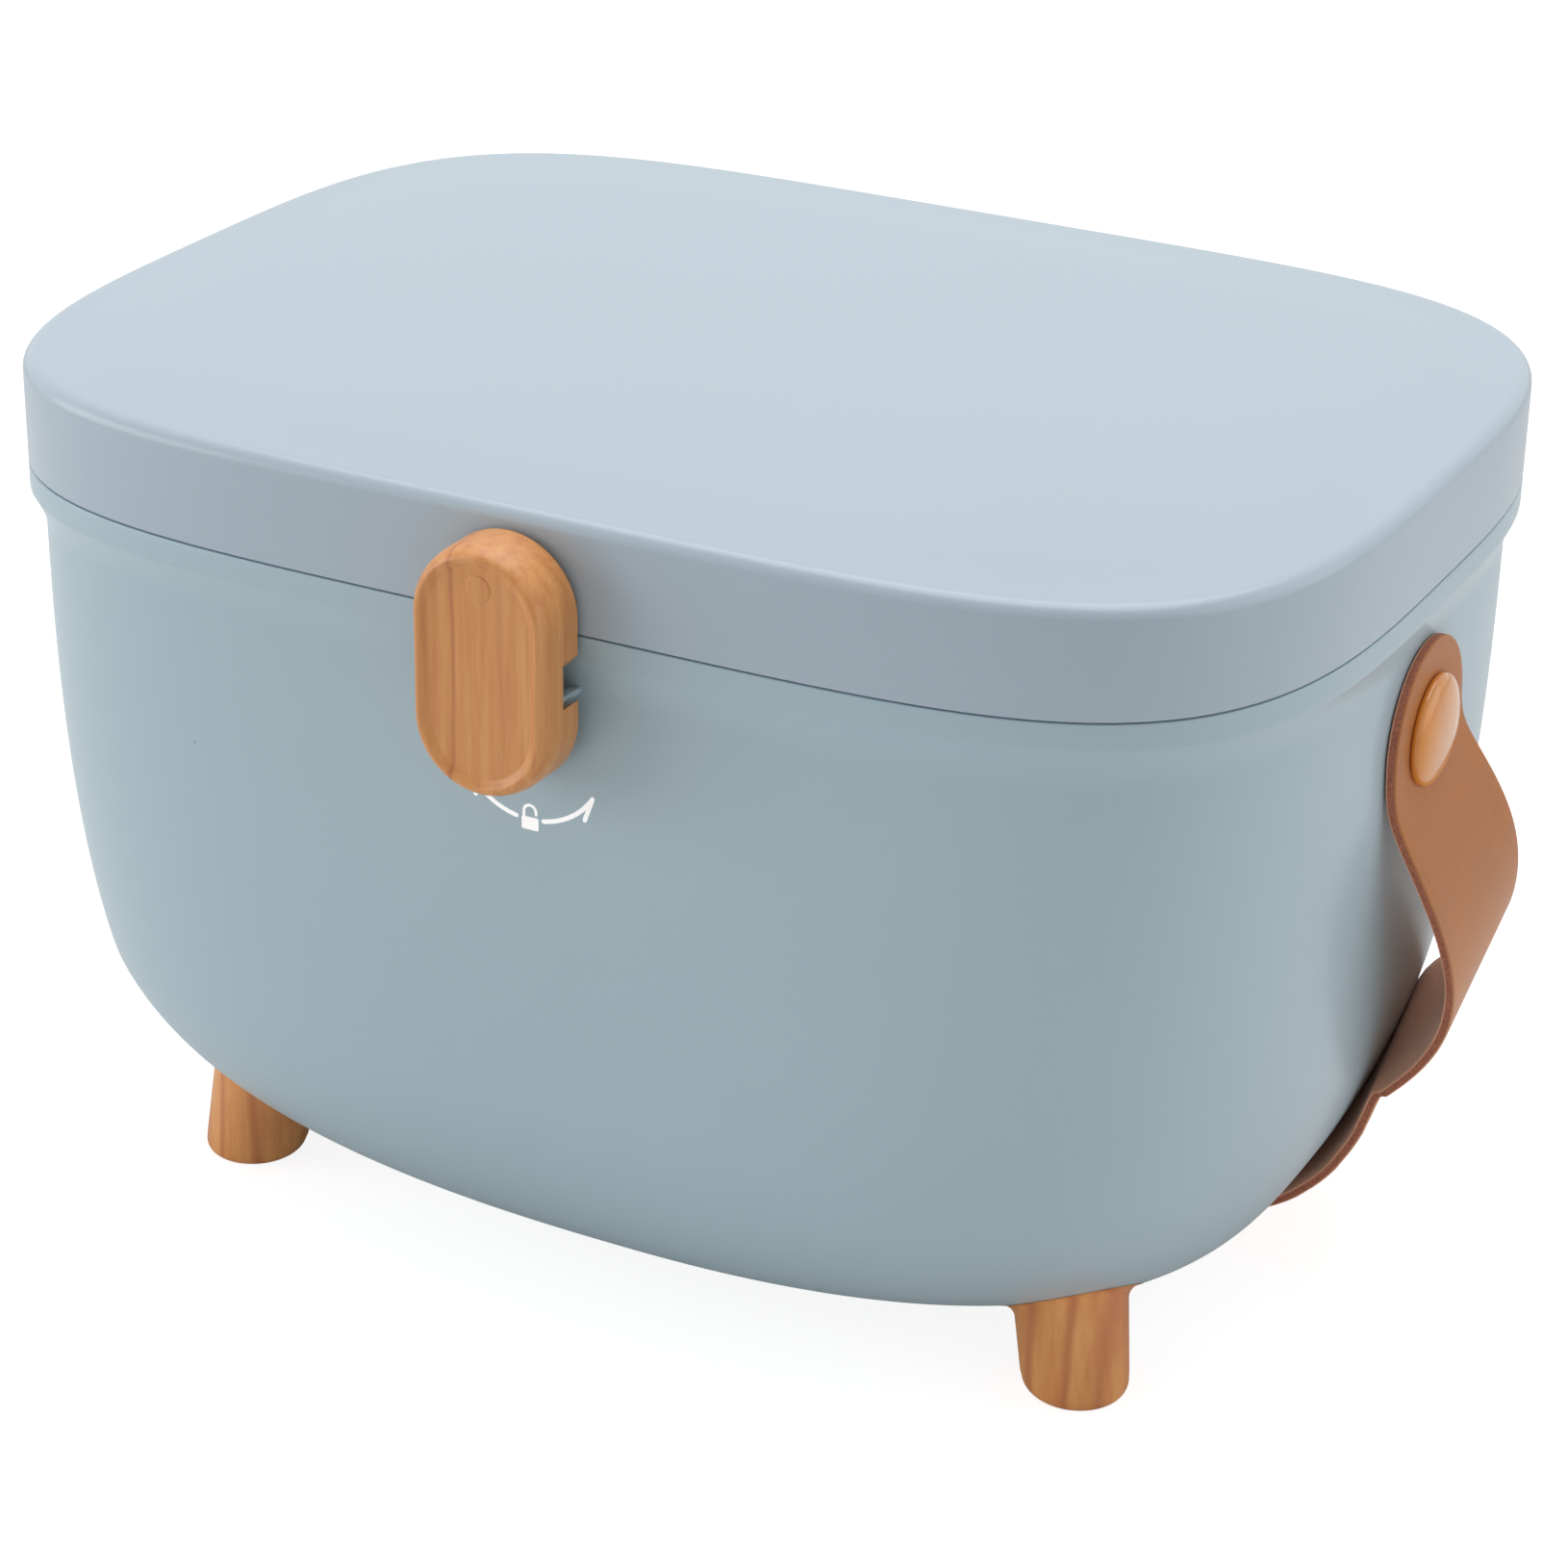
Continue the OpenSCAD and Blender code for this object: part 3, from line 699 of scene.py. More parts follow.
def pill(radius, straight, centre, y, count=128):
    """An upright outline with round ends, standing in a plane across the depth."""
    half = count // 2
    points = []
    for k in range(count):
        turn = pi * (k % half) / (half - 1) + (pi if k >= half else 0)
        drop = straight if k >= half else 0
        points.append(Vector((radius * cos(turn), y, centre - drop + radius * sin(turn))))
    return points


def latch_knob():
    knob = bpy.context.scene.box_knob
    low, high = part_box("latch_knob")
    pivot = Vector(JOINTS["latch_swing"]["pos_m"])
    radius = high.x
    centre = high.z - radius
    thick = pivot.y - low.y
    profile = [(knob.back_r * (1 - sin(a)), knob.back_r * (1 - cos(a))) for a in quarter(3)]
    profile += [
        (knob.round_w * (1 - cos(a)), thick - knob.round_d * (1 - sin(a)))
        for a in quarter(14)]
    steps = 10
    profile += [
        (knob.round_w + (knob.rim_w - knob.round_w) * k / steps,
         thick - knob.dish * (1 - cos(pi * k / steps)) / 2)
        for k in range(1, steps + 1)]
    rings = [pill(radius - inset, knob.straight, centre, pivot.y - depth) for inset, depth in profile]
    body = skin("latch_knob_body", rings)
    back = Vector((0, -1, 0))
    outer = knob.groove_in + knob.groove_w
    groove = turned(
        "groove", pivot - back * knob.dish, back,
        [(knob.groove_in, 0), (outer, 0), (outer, knob.dish + knob.groove_d),
         (knob.groove_in, knob.dish + knob.groove_d)], 192, True)
    combined(body, groove, "DIFFERENCE")
    collar_h = high.y - pivot.y
    collar = turned(
        "collar", pivot + back * knob.dish, -back,
        [(knob.collar_r, 0), (knob.collar_r, collar_h + knob.dish)])
    combined(body, collar, "UNION")
    bore = turned(
        "bore", pivot - back * 2 * collar_h, back,
        [(knob.shank_r, 0), (knob.shank_r, 2 * collar_h + knob.shank_d)], 48)
    combined(body, bore, "DIFFERENCE")
    bevelled(body, knob.bevel)
    face = Vector((pivot.x, low.y + knob.dish, pivot.z + knob.mark_up))
    mark = turned(
        "latch_knob_mark", face - back * knob.mark_h, back,
        [(knob.mark_r, 0), (knob.mark_r, knob.mark_h)]
        + [(knob.mark_r - knob.mark_h * 2 * (1 - cos(a)), knob.mark_h * (1 + sin(a))) for a in quarter(4)])
    return smoothed(body), mark


# Feet


def foot_piece(name, box, x_sign, y_sign):
    foot = bpy.context.scene.box_foot
    base, up = foot_axis(x_sign, y_sign)
    spokes = circle(Vector((0, 0, 0)), up, 1, 96)
    reach = 2 * foot.taper_h

    def bottom(radius, spoke):
        start = base + spoke * radius
        return -start.z / up.z

    def top(radius, spoke):
        start = base + spoke * radius
        low = bottom(radius, spoke)
        return low + box.meets(start + up * low, up, reach) - foot.gap

    def trunk(height):
        return foot.radius + foot.taper * clamp(height / foot.taper_h)

    rings = []
    for a in quarter(8):
        inset = foot.edge_r * (1 - sin(a))
        rise = foot.edge_r * (1 - cos(a))
        radius = trunk(0) - inset
        rings.append([base + spoke * radius + up * (bottom(radius, spoke) + rise) for spoke in spokes])
    steps = 14
    top_r = trunk(foot.taper_h * 0.6) + foot.flare
    for k in range(1, steps + 1):
        ring = []
        for spoke in spokes:
            low = bottom(foot.radius, spoke) + foot.edge_r
            high = top(top_r, spoke) - foot.flare
            height = low + (high - low) * k / steps
            ring.append(base + spoke * trunk(height) + up * height)
        rings.append(ring)
    for a in quarter(8)[1:]:
        ring = []
        for spoke in spokes:
            high = top(top_r, spoke) - foot.flare
            radius = trunk(high) + (top_r - trunk(high)) * (1 - cos(a))
            ring.append(base + spoke * radius + up * min(high + foot.flare * sin(a), top(radius, spoke)))
        rings.append(ring)
    return skin(name, rings)


# Strap


def lengths_to(places):
    """Length of a line up to each of its places (x, y, z, tilt)."""
    lengths = [0]
    for here, there in zip(places, places[1:]):
        lengths.append(lengths[-1] + dist(here[:3], there[:3]))
    return lengths


class StrapPath:
    """Middle line of the strap, from the top of its left end round the belly to its right end."""

    def __init__(self, box):
        strap = bpy.context.scene.box_strap
        low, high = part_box("strap_button_right")
        self.strap = strap
        self.box = box
        self.button_z = (low.z + high.z) / 2
        self.button_r = (high.z - low.z) / 2
        self.off = strap.gap + strap.thickness / 2
        hanging = self.hanging()
        half = self.smooth(hanging + self.lying(hanging[-1]))
        self.line = [(-x, y, z, tilt) for x, y, z, tilt in half] + half[-2::-1]
        self.reach = lengths_to(self.line)
        self.total = self.reach[-1]

    def hanging(self):
        """Places (x, y, z, tilt) from the top of the right end down to where it meets the wall."""
        strap = self.strap
        down = -strap.width / 2 * cos(strap.tilt)
        y = -strap.width / 2 * sin(strap.tilt)
        places = []
        while down < strap.bulge_len:
            gone = clamp(down / strap.bulge_len)
            tilt = strap.tilt + (strap.low_tilt - strap.tilt) * gone ** strap.tilt_rate
            full = clamp((down - strap.flat) / (strap.bulge_len - strap.flat))
            z = self.button_z - down
            wall = self.box.end_x(self.button_z) if down < 0 else self.box.wall_x(y, z)
            bulge = strap.bulge * sin(pi * full ** strap.bulge_shape)
            places.append((wall + self.off + bulge, y, z, tilt))
            down += strap.step * cos(tilt)
            y += strap.step * sin(tilt)
        return places

    def lying(self, start):
        """Places from there round the belly to the middle, close to its skin, found on rays from a hub."""
        x, y, z, tilt = start
        strap = self.strap
        hub_out, hub_up, haste = 0.4, 1.4, 1.5
        hub = Vector((hub_out * x, 0, hub_up * z))
        first = atan2(hub.z - z, x - hub.x)
        places = []
        steps = 90
        for k in range(2, steps + 1):
            turn = first + (pi / 2 - first) * k / steps
            part = soft_step(haste * k / steps)
            middle_y = y + (strap.under_y - y) * part
            lean = tilt * (1 - part)
            ray = Vector((cos(turn), 0, -sin(turn)))
            middle = hub + Vector((0, middle_y, 0))
            across = Vector((0, cos(lean), sin(lean))) * strap.width / 2
            out = max(self.box.leaves(middle + across * j / 4, ray) for j in range(-4, 5))
            place = hub + ray * (out + self.off)
            places.append((place.x, middle_y, place.z, lean))
        return places + [(0, strap.under_y, self.box.belly_z - self.off, 0)]

    def smooth(self, places):
        """Spreads the places evenly and rounds the bends over the length ease."""
        reach = lengths_to(places)
        step = self.strap.step
        last = round(reach[-1] / step)
        even = []
        at = 0
        for k in range(last + 1):
            want = reach[-1] * k / last
            while at < len(reach) - 2 and reach[at + 1] < want:
                at += 1
            part = (want - reach[at]) / (reach[at + 1] - reach[at])
            even.append([a + (b - a) * part for a, b in zip(places[at], places[at + 1])])

        def beyond(k):
            """The line runs on straight above its end and mirrored past its middle."""
            if k < 0:
                return [2 * a - b for a, b in zip(even[0], even[-k])]
            if k > last:
                x, *others = even[2 * last - k]
                return [-x, *others]
            return even[k]

        width = round(2 * self.strap.ease / step)
        weights = {k: exp(-(k * step / self.strap.ease) ** 2) for k in range(-width, width + 1)}
        total = sum(weights.values())
        return [
            tuple(
                sum(beyond(k + j)[axis] * weight for j, weight in weights.items()) / total
                for axis in range(4))
            for k in range(last + 1)]

    def at(self, along):
        """Point of the middle line at a length from its left end, with the ways across and outwards."""
        along = min(max(along, 0), self.total - TINY)
        low, high = 0, len(self.reach) - 1
        while high - low > 1:
            middle = (low + high) // 2
            if self.reach[middle] <= along:
                low = middle
            else:
                high = middle
        part = (along - self.reach[low]) / (self.reach[high] - self.reach[low])
        x, y, z, tilt = (a + (b - a) * part for a, b in zip(self.line[low], self.line[high]))
        before = Vector(self.line[max(low - 1, 0)][:3])
        after = Vector(self.line[min(high + 1, len(self.line) - 1)][:3])
        forward = (after - before).normalized()
        across = Vector((0, cos(tilt), sin(tilt)))
        across = (across - forward * across.dot(forward)).normalized()
        out = across.cross(forward)
        end = min(along, self.total - along) - self.strap.width / 2
        turn = self.strap.twist * sin(pi * clamp(end / self.strap.twist_len)) ** 2
        point = Vector((x, y, z)) + out * (self.strap.width / 2 * sin(turn))
        return point, across * cos(turn) + out * sin(turn), out * cos(turn) - across * sin(turn)


def strap_band(path, looks):
    """The strap: a flat band with round ends, bent along its path."""
    strap = path.strap
    half = strap.width / 2
    rise = strap.thickness / 2
    round_r = strap.edge_r
    profile = [(half * k / 5, -rise) for k in range(5, 0, -1)]
    profile += [(round_r * (1 - sin(a)), -rise + round_r * (1 - cos(a))) for a in quarter(4)]
    profile += [(round_r * (1 - cos(a)), rise - round_r * (1 - sin(a))) for a in quarter(4)]
    profile += [(half * k / 5, rise) for k in range(1, 6)]
    long_steps = 240
    end_steps = 24
    rings = []
    for inset, height in profile:
        radius = half - inset
        ring = []
        for side in SIDES:
            for k in range(long_steps):
                along = half + (path.total - 2 * half) * k / long_steps
                along = along if side < 0 else path.total - along
                ring.append(Vector((side * radius, along, height)))
            for k in range(end_steps):
                turn = pi * k / end_steps
                along = path.total - half + radius * sin(turn) if side < 0 else half - radius * sin(turn)
                ring.append(Vector((side * radius * cos(turn), along, height)))
        rings.append(ring)
    band = skin("carry_strap", rings)
    for look in looks:
        band.data.materials.append(look)
    for face in band.data.polygons:
        heights = [band.data.vertices[v].co.z for v in face.vertices]
        low, high = min(heights), max(heights)
        flat = rise - round_r - TINY
        face.material_index = 0 if low > flat else 2 if high < -flat else 1
    for vertex in band.data.vertices:
        across, along, height = vertex.co
        point, wide, out = path.at(along)
        vertex.co = point + wide * across + out * height
    with editing(band):
        bpy.ops.mesh.normals_make_consistent(inside=False)
    return smoothed(band, 50)


def strap_button(name, path, side):
    """A glossy domed button on its stem, square to the strap."""
    strap = path.strap
    along = strap.width / 2 if side < 0 else path.total - strap.width / 2
    point, _, out = path.at(along)
    low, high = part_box("strap_button_right")
    seat = point + out * strap.thickness / 2
    dome = high.x - path.box.end_x(path.button_z) - strap.gap - strap.thickness
    radius = path.button_r
    edge = strap.button_edge
    lip = edge / 2
    profile = [(radius - lip * (1 - sin(a)), lip * (1 - cos(a))) for a in quarter(6)]
    side_bend, top_bend = 0.9, 0.8
    for a in quarter(20)[1:]:
        left = radius * cos(a) ** side_bend if a < pi / 2 else 2 * TINY
        profile.append((left, lip + (dome - lip) * sin(a) ** top_bend))
    head = turned(name, seat, out, profile, 128)
    stem_len = strap.thickness + strap.gap + path.box.shape.wall / 4
    stem = turned("stem", seat - out * stem_len, out, [(strap.stem_r, 0), (strap.stem_r, stem_len + lip)], 48)
    return smoothed(combined(head, stem, "UNION"), 40)


# Print


def stroke(path, width, rounds=6):
    """Outline of a line of some width with round ends, from points (x, z)."""
    left, right, caps = [], [], []
    last = len(path) - 1
    for k, (x, z) in enumerate(path):
        before, after = path[max(k - 1, 0)], path[min(k + 1, last)]
        along = Vector((after[0] - before[0], after[1] - before[1])).normalized()
        side = Vector((-along.y, along.x)) * width / 2
        left.append((x + side.x, z + side.y))
        right.append((x - side.x, z - side.y))
        if k in (0, last):
            first = atan2(along.y, along.x) + (pi / 2 if k == 0 else -pi / 2)
            turns = [first + pi * (j + 1) / (rounds + 1) for j in range(rounds)]
            caps.append([(x + width / 2 * cos(t), z + width / 2 * sin(t)) for t in turns])
    return right + caps[1] + left[::-1] + caps[0]


def arc(centre, radius, start, end, steps=20):
    """Points on an arc, with angles measured from straight down."""
    turns = [start + (end - start) * k / steps for k in range(steps + 1)]
    return [(centre[0] + radius * sin(t), centre[1] - radius * cos(t)) for t in turns]


def rounded_box(centre, width, height, radius):
    x, z = centre
    points = []
    for corner, (x_sign, z_sign) in enumerate(((1, 1), (-1, 1), (-1, -1), (1, -1))):
        for k in range(5):
            turn = pi / 2 * (corner + k / 4)
            points.append((x + x_sign * (width / 2 - radius) + radius * cos(turn),
                           z + z_sign * (height / 2 - radius) + radius * sin(turn)))
    return points


def turning_sign(box):
    """Two arc arrows and an open padlock, printed on the front wall."""
    sign = bpy.context.scene.box_print
    line = sign.line_w
    middle = sign.middle_x
    centre = (middle, sign.low_z + sign.arc_r)
    outlines = []
    for side in SIDES:
        path = arc(centre, sign.arc_r, side * sign.start, side * sign.end)
        tip = path[-1]
        barb = (tip[0] - side * sign.barb_in, tip[1] - sign.barb_h)
        outlines += [stroke(path, line), stroke([tip, barb], line)]
    above_arc, bow_share, bow_weight, bow_open = 0.2, 0.36, 0.65, 1.2
    body_top = sign.low_z + above_arc * sign.lock_h
    body = (middle, body_top - sign.lock_h / 2)
    outlines.append(rounded_box(body, sign.lock_w, sign.lock_h, sign.lock_r))
    bow_r = bow_share * sign.lock_w
    bow_line = bow_weight * line
    leg = body_top + sign.leg_h
    bow = [(middle - bow_r, body_top - bow_line / 2), (middle - bow_r, leg)]
    bow += [(middle - bow_r * cos(pi * k / 12), leg + bow_r * sin(pi * k / 12)) for k in range(1, 12)]
    bow += [(middle + bow_r, leg), (middle + bow_r, body_top + bow_open * bow_line)]
    outlines.append(stroke(bow, bow_line))
    wall_y = -box.side_y(sign.low_z)
    reach = Vector((0, -2 * sign.ink, 0))
    first, *others = [
        prism("turning_sign", [Vector((x, wall_y + sign.ink, z)) for x, z in outline], reach)
        for outline in outlines]
    for part in others:
        combined(first, part, "UNION")
    return first


# Finishes


class Value:
    """One socket of a finish, which takes part in arithmetic as a number does."""

    def __init__(self, finish, socket):
        self.finish = finish
        self.socket = socket

    def __add__(self, other):
        return self.finish.maths("ADD", self, other)

    def __sub__(self, other):
        return self.finish.maths("SUBTRACT", self, other)

    def __rsub__(self, other):
        return self.finish.maths("SUBTRACT", other, self)

    def __mul__(self, other):
        return self.finish.maths("MULTIPLY", self, other)

    def __gt__(self, other):
        return self.finish.maths("GREATER_THAN", self, other)

    def __lt__(self, other):
        return self.finish.maths("LESS_THAN", self, other)

    __radd__ = __add__
    __rmul__ = __mul__


class Finish:
    """A material, built up round one Principled shader."""

    def __init__(self, name, **sockets):
        self.material = bpy.data.materials.new(name)
        self.material.use_nodes = True
        self.nodes = self.material.node_tree.nodes
        self.links = self.material.node_tree.links
        self.shader = self.nodes["Principled BSDF"]
        self.show(**sockets)

    def node(self, kind, inputs, settings=(), output=0):
        """A node with its settings made first and its sockets filled, as one of its outputs."""
        node = self.nodes.new("ShaderNode" + kind)
        for name, value in dict(settings).items():
            if name == "stops":
                ramp = node.color_ramp.elements
                while len(ramp) < len(value):
                    ramp.new(0.5)
                for stop, (place, tone) in zip(ramp, value):
                    stop.position = place
                    stop.color = (*tone, 1)
            else:
                setattr(node, name, value)
        for name, value in inputs.items():
            self.fill(node.inputs[name], value)
        return Value(self, node.outputs[output])

    def fill(self, socket, value):
        if isinstance(value, Value):
            self.links.new(value.socket, socket)
        elif socket.type == "RGBA" and len(value) == 3:
            socket.default_value = (*value, 1)
        else:
            socket.default_value = value

    def maths(self, operation, *values):
        return self.node("Math", dict(enumerate(values)), {"operation": operation})

    def blend(self, part, first, second):
        """Colour from first at 0 to second at 1."""
        return self.node("Mix", {0: part, 6: first, 7: second}, {"data_type": "RGBA"}, 2)

    def place(self, scale=(1, 1, 1), shift=(0, 0, 0), turn=(0, 0, 0)):
        """Place on the piece, in metres."""
        where = self.node("TexCoord", {}, output="Object")
        return self.node("Mapping", {"Vector": where, "Location": shift, "Rotation": turn, "Scale": scale})

    def along(self, where, axis):
        return self.node("SeparateXYZ", {0: where}, output=axis)

    def noise(self, where, scale, detail=2.0, roughness=0.5):
        inputs = {"Vector": where, "Scale": scale, "Detail": detail, "Roughness": roughness}
        return self.node("TexNoise", inputs)

    def ramp(self, value, *stops):
        return self.node("ValToRGB", {0: value}, {"stops": stops})

    def eased(self, value, low, high, start=0.0, end=1.0):
        """The value's way from low to high as a smooth step from start to end."""
        return self.node(
            "MapRange", {"Value": value, "From Min": low, "From Max": high, "To Min": start, "To Max": end},
            {"interpolation_type": "SMOOTHSTEP"})

    def relief(self, height, depth, strength=1.0):
        """Bumps of some depth in metres."""
        bump = self.node("Bump", {"Height": height, "Distance": depth, "Strength": strength})
        self.fill(self.shader.inputs["Normal"], bump)

    def show(self, **sockets):
        """Fills sockets of the shader, by their names in small letters."""
        for name, value in sockets.items():
            self.fill(self.shader.inputs[name.replace("_", " ").title().replace("Ior", "IOR")], value)
        return self.material


def shaded(tone, level):
    """A tone made darker, below a level of 1, or lighter."""
    return [min(1, level * c) for c in tone]


def moulded_plastic(name, tone, roughness, specks=0.0):
    """Satin plastic with a faint cloudiness, fine texture and a few dust specks."""
    finish = Finish(name, coat_weight=0.35, coat_roughness=0.2)
    where = finish.place()
    cloud = finish.noise(where, 14, 3)
    colour_now = finish.blend(cloud, shaded(tone, 0.975), shaded(tone, 1.025))
    if specks:
        per_metre, speck_r, strength = 38.0, 0.016, 0.45
        cell = {"Vector": where, "Scale": per_metre}
        far = finish.node("TexVoronoi", cell, output="Distance")
        pick = finish.along(finish.node("TexVoronoi", cell, output="Color"), 0)
        speck = (far < speck_r) * (pick > 1 - specks)
        colour_now = finish.blend(speck * strength, colour_now, shaded(tone, 0.35))
    fine = finish.noise(where, 1600, 2)
    finish.relief(fine, 0.012 * MM, 0.35)
    dull = finish.eased(cloud, 0.3, 0.7, roughness - 0.02, roughness + 0.03)
    return finish.show(base_color=colour_now, roughness=dull)


def wood_look(name, tones, streaks, grain=(1, 1, 0.05), scale=420.0):
    """Printed wood grain that runs along the piece, with some redder streaks across x."""
    light, middle, dark, red = tones
    finish = Finish(name, coat_weight=0.15, coat_roughness=0.25)
    where = finish.place(scale=grain)
    bend = finish.noise(finish.place(scale=(1, 1, 0.4)), 60, 2)
    broad = finish.noise(where, scale, 3, 0.55)
    fine = finish.noise(where, scale * 5, 2, 0.6)
    tone = finish.ramp(broad, (0.28, dark), (0.5, middle), (0.72, light))
    tone = finish.blend(finish.eased(fine, 0.35, 0.7, 0.0, 0.3), tone, dark)
    x = finish.along(finish.place(), 0)
    sway = 4 * MM
    for place, half, strength in streaks:
        off = x - place + (bend - 0.5) * sway
        tone = finish.blend(finish.eased(finish.maths("ABSOLUTE", off), 0.0, half, strength, 0.0), tone, red)
    finish.relief(fine, 0.02 * MM, 0.2)
    return finish.show(base_color=tone, roughness=finish.eased(fine, 0.3, 0.7, 0.36, 0.46))


def wood_tones(tones):
    return tones.wood_light, tones.wood_mid, tones.wood_dark, tones.streak


def glossy_button(name, tone):
    finish = Finish(name, coat_weight=0.7, coat_roughness=0.08)
    where = finish.place(scale=(1, 1, 0.3))
    cloud = finish.noise(where, 160, 3)
    shade = finish.blend(cloud, shaded(tone, 0.86), shaded(tone, 1.12))
    finish.relief(finish.noise(where, 700, 2), 0.01 * MM, 0.2)
    return finish.show(base_color=shade, roughness=finish.eased(cloud, 0.3, 0.7, 0.2, 0.3))


def leather_face(name, upper, low_painted_light):
    """Smooth leather with fine pores and a light mottling, paler towards the bottom, where the paler tone is a
    painted reflection of the pale floor as the strap bends under the belly.
    """
    finish = Finish(name)
    where = finish.place()
    # Painted reflection: below 120 mm the face fades into the paler low tone, fully so at 40 mm, for the floor's
    # light on it.
    tone = finish.blend(finish.eased(finish.along(where, 2), 40 * MM, 120 * MM), low_painted_light, upper)
    pores = finish.node(
        "TexVoronoi", {"Vector": where, "Scale": 1500.0}, {"feature": "DISTANCE_TO_EDGE"}, "Distance")
    mottle = finish.noise(where, 90, 4, 0.6)
    fine = finish.noise(where, 900, 2)
    brown = (0.1, 0.04, 0.01)
    shade = finish.blend(finish.eased(mottle, 0.3, 0.7, 0.1, 0.0), tone, brown)
    shade = finish.blend(finish.eased(fine, 0.55, 0.75, 0.0, 0.12), shade, brown)
    height = finish.eased(pores, 0.0, 0.12) + mottle * 0.6
    finish.relief(height, 0.05 * MM, 0.45)
    return finish.show(base_color=shade, roughness=finish.eased(mottle, 0.3, 0.7, 0.44, 0.54))


def leather_cut(name, tone):
    """The cut edge, with packed fibres."""
    finish = Finish(name)
    fibres = finish.noise(finish.place(), 1500, 4, 0.7)
    shade = finish.ramp(fibres, (0.3, shaded(tone, 0.6)), (0.5, tone), (0.72, shaded(tone, 1.5)))
    finish.relief(fibres, 0.15 * MM, 0.6)
    return finish.show(base_color=shade, roughness=finish.eased(fibres, 0.2, 0.8, 0.7, 0.9))


def suede(name, tone):
    """The rough back of the strap, with nap and a faint patchiness."""
    finish = Finish(name, sheen_weight=0.15)
    nap = finish.noise(finish.place(), 1100, 5, 0.7)
    patch = finish.noise(finish.place(), 70, 3)
    shade = finish.blend(patch, shaded(tone, 0.85), shaded(tone, 1.15))
    shade = finish.blend(finish.eased(nap, 0.4, 0.7, 0.0, 0.3), shade, shaded(tone, 0.7))
    finish.relief(nap, 0.12 * MM, 0.6)
    return finish.show(base_color=shade, roughness=finish.eased(nap, 0.2, 0.8, 0.85, 0.95))


def brushed_steel(name, tone):
    finish = Finish(name, metallic=1.0)
    lines = finish.noise(finish.place(scale=(1, 1, 6)), 900, 3)
    shade = finish.blend(lines, shaded(tone, 0.92), tone)
    finish.relief(lines, 0.01 * MM, 0.3)
    return finish.show(base_color=shade, roughness=finish.eased(lines, 0.3, 0.7, 0.26, 0.36))


def print_ink_glowing(name, tone):
    # Painted light: the ink glows faintly in its own colour, though it is no lamp.
    finish = Finish(name, emission_strength=0.3)
    grain = finish.noise(finish.place(), 2500, 2)
    shade = finish.blend(grain, shaded(tone, 0.94), tone)
    finish.relief(grain, 0.005 * MM, 0.2)
    dull = finish.eased(grain, 0.3, 0.7, 0.5, 0.6)
    return finish.show(base_color=shade, emission_color=shade, roughness=dull)


# Operators


class BOX_OT_shells(bpy.types.Operator):
    """Model the tub and the lid with their moulded fittings"""
    bl_idname = "medicine_box.shells"
    bl_label = "Tub and lid"

    def execute(self, context):
        box = form()
        fitting = context.scene.box_fitting
        tones = context.scene.box_finish
        tub = moulded_plastic("satin_plastic_tub", tones.tub, 0.42, 0.12)
        lid = moulded_plastic("satin_plastic_lid", tones.lid, 0.4, 0.3)
        finished(tub_shell(box), tub, "box", ["body_shell"])
        finished(lid_shell(box), lid, "lid", ["lid"])
        half, mid = fitting.hinge_len / 2, fitting.mid_len / 2
        outer = [
            (fitting.hinge_x - half, fitting.hinge_x - mid - fitting.knuckle_gap),
            (fitting.hinge_x + mid + fitting.knuckle_gap, fitting.hinge_x + half)]
        finished(knuckles("tub_knuckles", box, outer, -1), tub, "box")
        inner = [(fitting.hinge_x - mid, fitting.hinge_x + mid)]
        finished(knuckles("lid_knuckles", box, inner, 1), lid, "lid")
        for piece in (catch_rib(box), foot_bosses(box), tray_ribs(box)):
            finished(piece, tub, "box")
        return {"FINISHED"}


class BOX_OT_latch(bpy.types.Operator):
    """Model the latch knob that swings on the lid"""
    bl_idname = "medicine_box.latch"
    bl_label = "Latch knob"

    def execute(self, context):
        tones = context.scene.box_finish
        streaks = [(-6.3 * MM, 0.8 * MM, 0.55), (4.6 * MM, 1.5 * MM, 0.15)]
        look = wood_look("wood_look_knob", wood_tones(tones), streaks)
        body, mark = latch_knob()
        finished(body, look, "latch", ["latch_knob"])
        finished(mark, look, "latch")
        return {"FINISHED"}


class BOX_OT_feet(bpy.types.Operator):
    """Model the four splayed feet up to the belly's curve"""
    bl_idname = "medicine_box.feet"
    bl_label = "Feet"

    def execute(self, context):
        box = form()
        tones = context.scene.box_finish
        streaks = [
            (side * place * MM, half * MM, 0.6)
            for side in SIDES for place, half in ((98, 2), (106.5, 1.5), (113, 2.3))]
        # Painted light: the feet's tones are lifted by this factor for light that the lamps don't give them.
        lighter = [shaded(tone, tones.foot_painted_light) for tone in wood_tones(tones)]
        look = wood_look("wood_look_feet", lighter, streaks, (1, 1, 0.12), 260.0)
        for x_sign, across in ((-1, "left"), (1, "right")):
            for y_sign, along in ((-1, "front"), (1, "rear")):
                node = f"foot_{along}_{across}"
                piece = foot_piece(node + "_flared", box, x_sign, y_sign)
                finished(piece, look, "box", [node])
        return {"FINISHED"}


class BOX_OT_strap(bpy.types.Operator):
    """Model the carry strap and its two buttons"""
    bl_idname = "medicine_box.strap"
    bl_label = "Strap and buttons"

    def execute(self, context):
        tones = context.scene.box_finish
        path = StrapPath(form())
        looks = (
            leather_face("leather_face", tones.leather, tones.leather_low_painted_light),
            leather_cut("leather_cut", tones.leather_edge),
            # The suede tone is lifted as painted light for the shaded back.
            suede("leather_back", tones.suede))
        finished(strap_band(path, looks), None, "box", ["strap"])
        look = glossy_button("glossy_button", tones.button)
        for side, word in ((-1, "left"), (1, "right")):
            node = "strap_button_" + word
            finished(strap_button(node + "_domed", path, side), look, "box", [node])
        return {"FINISHED"}


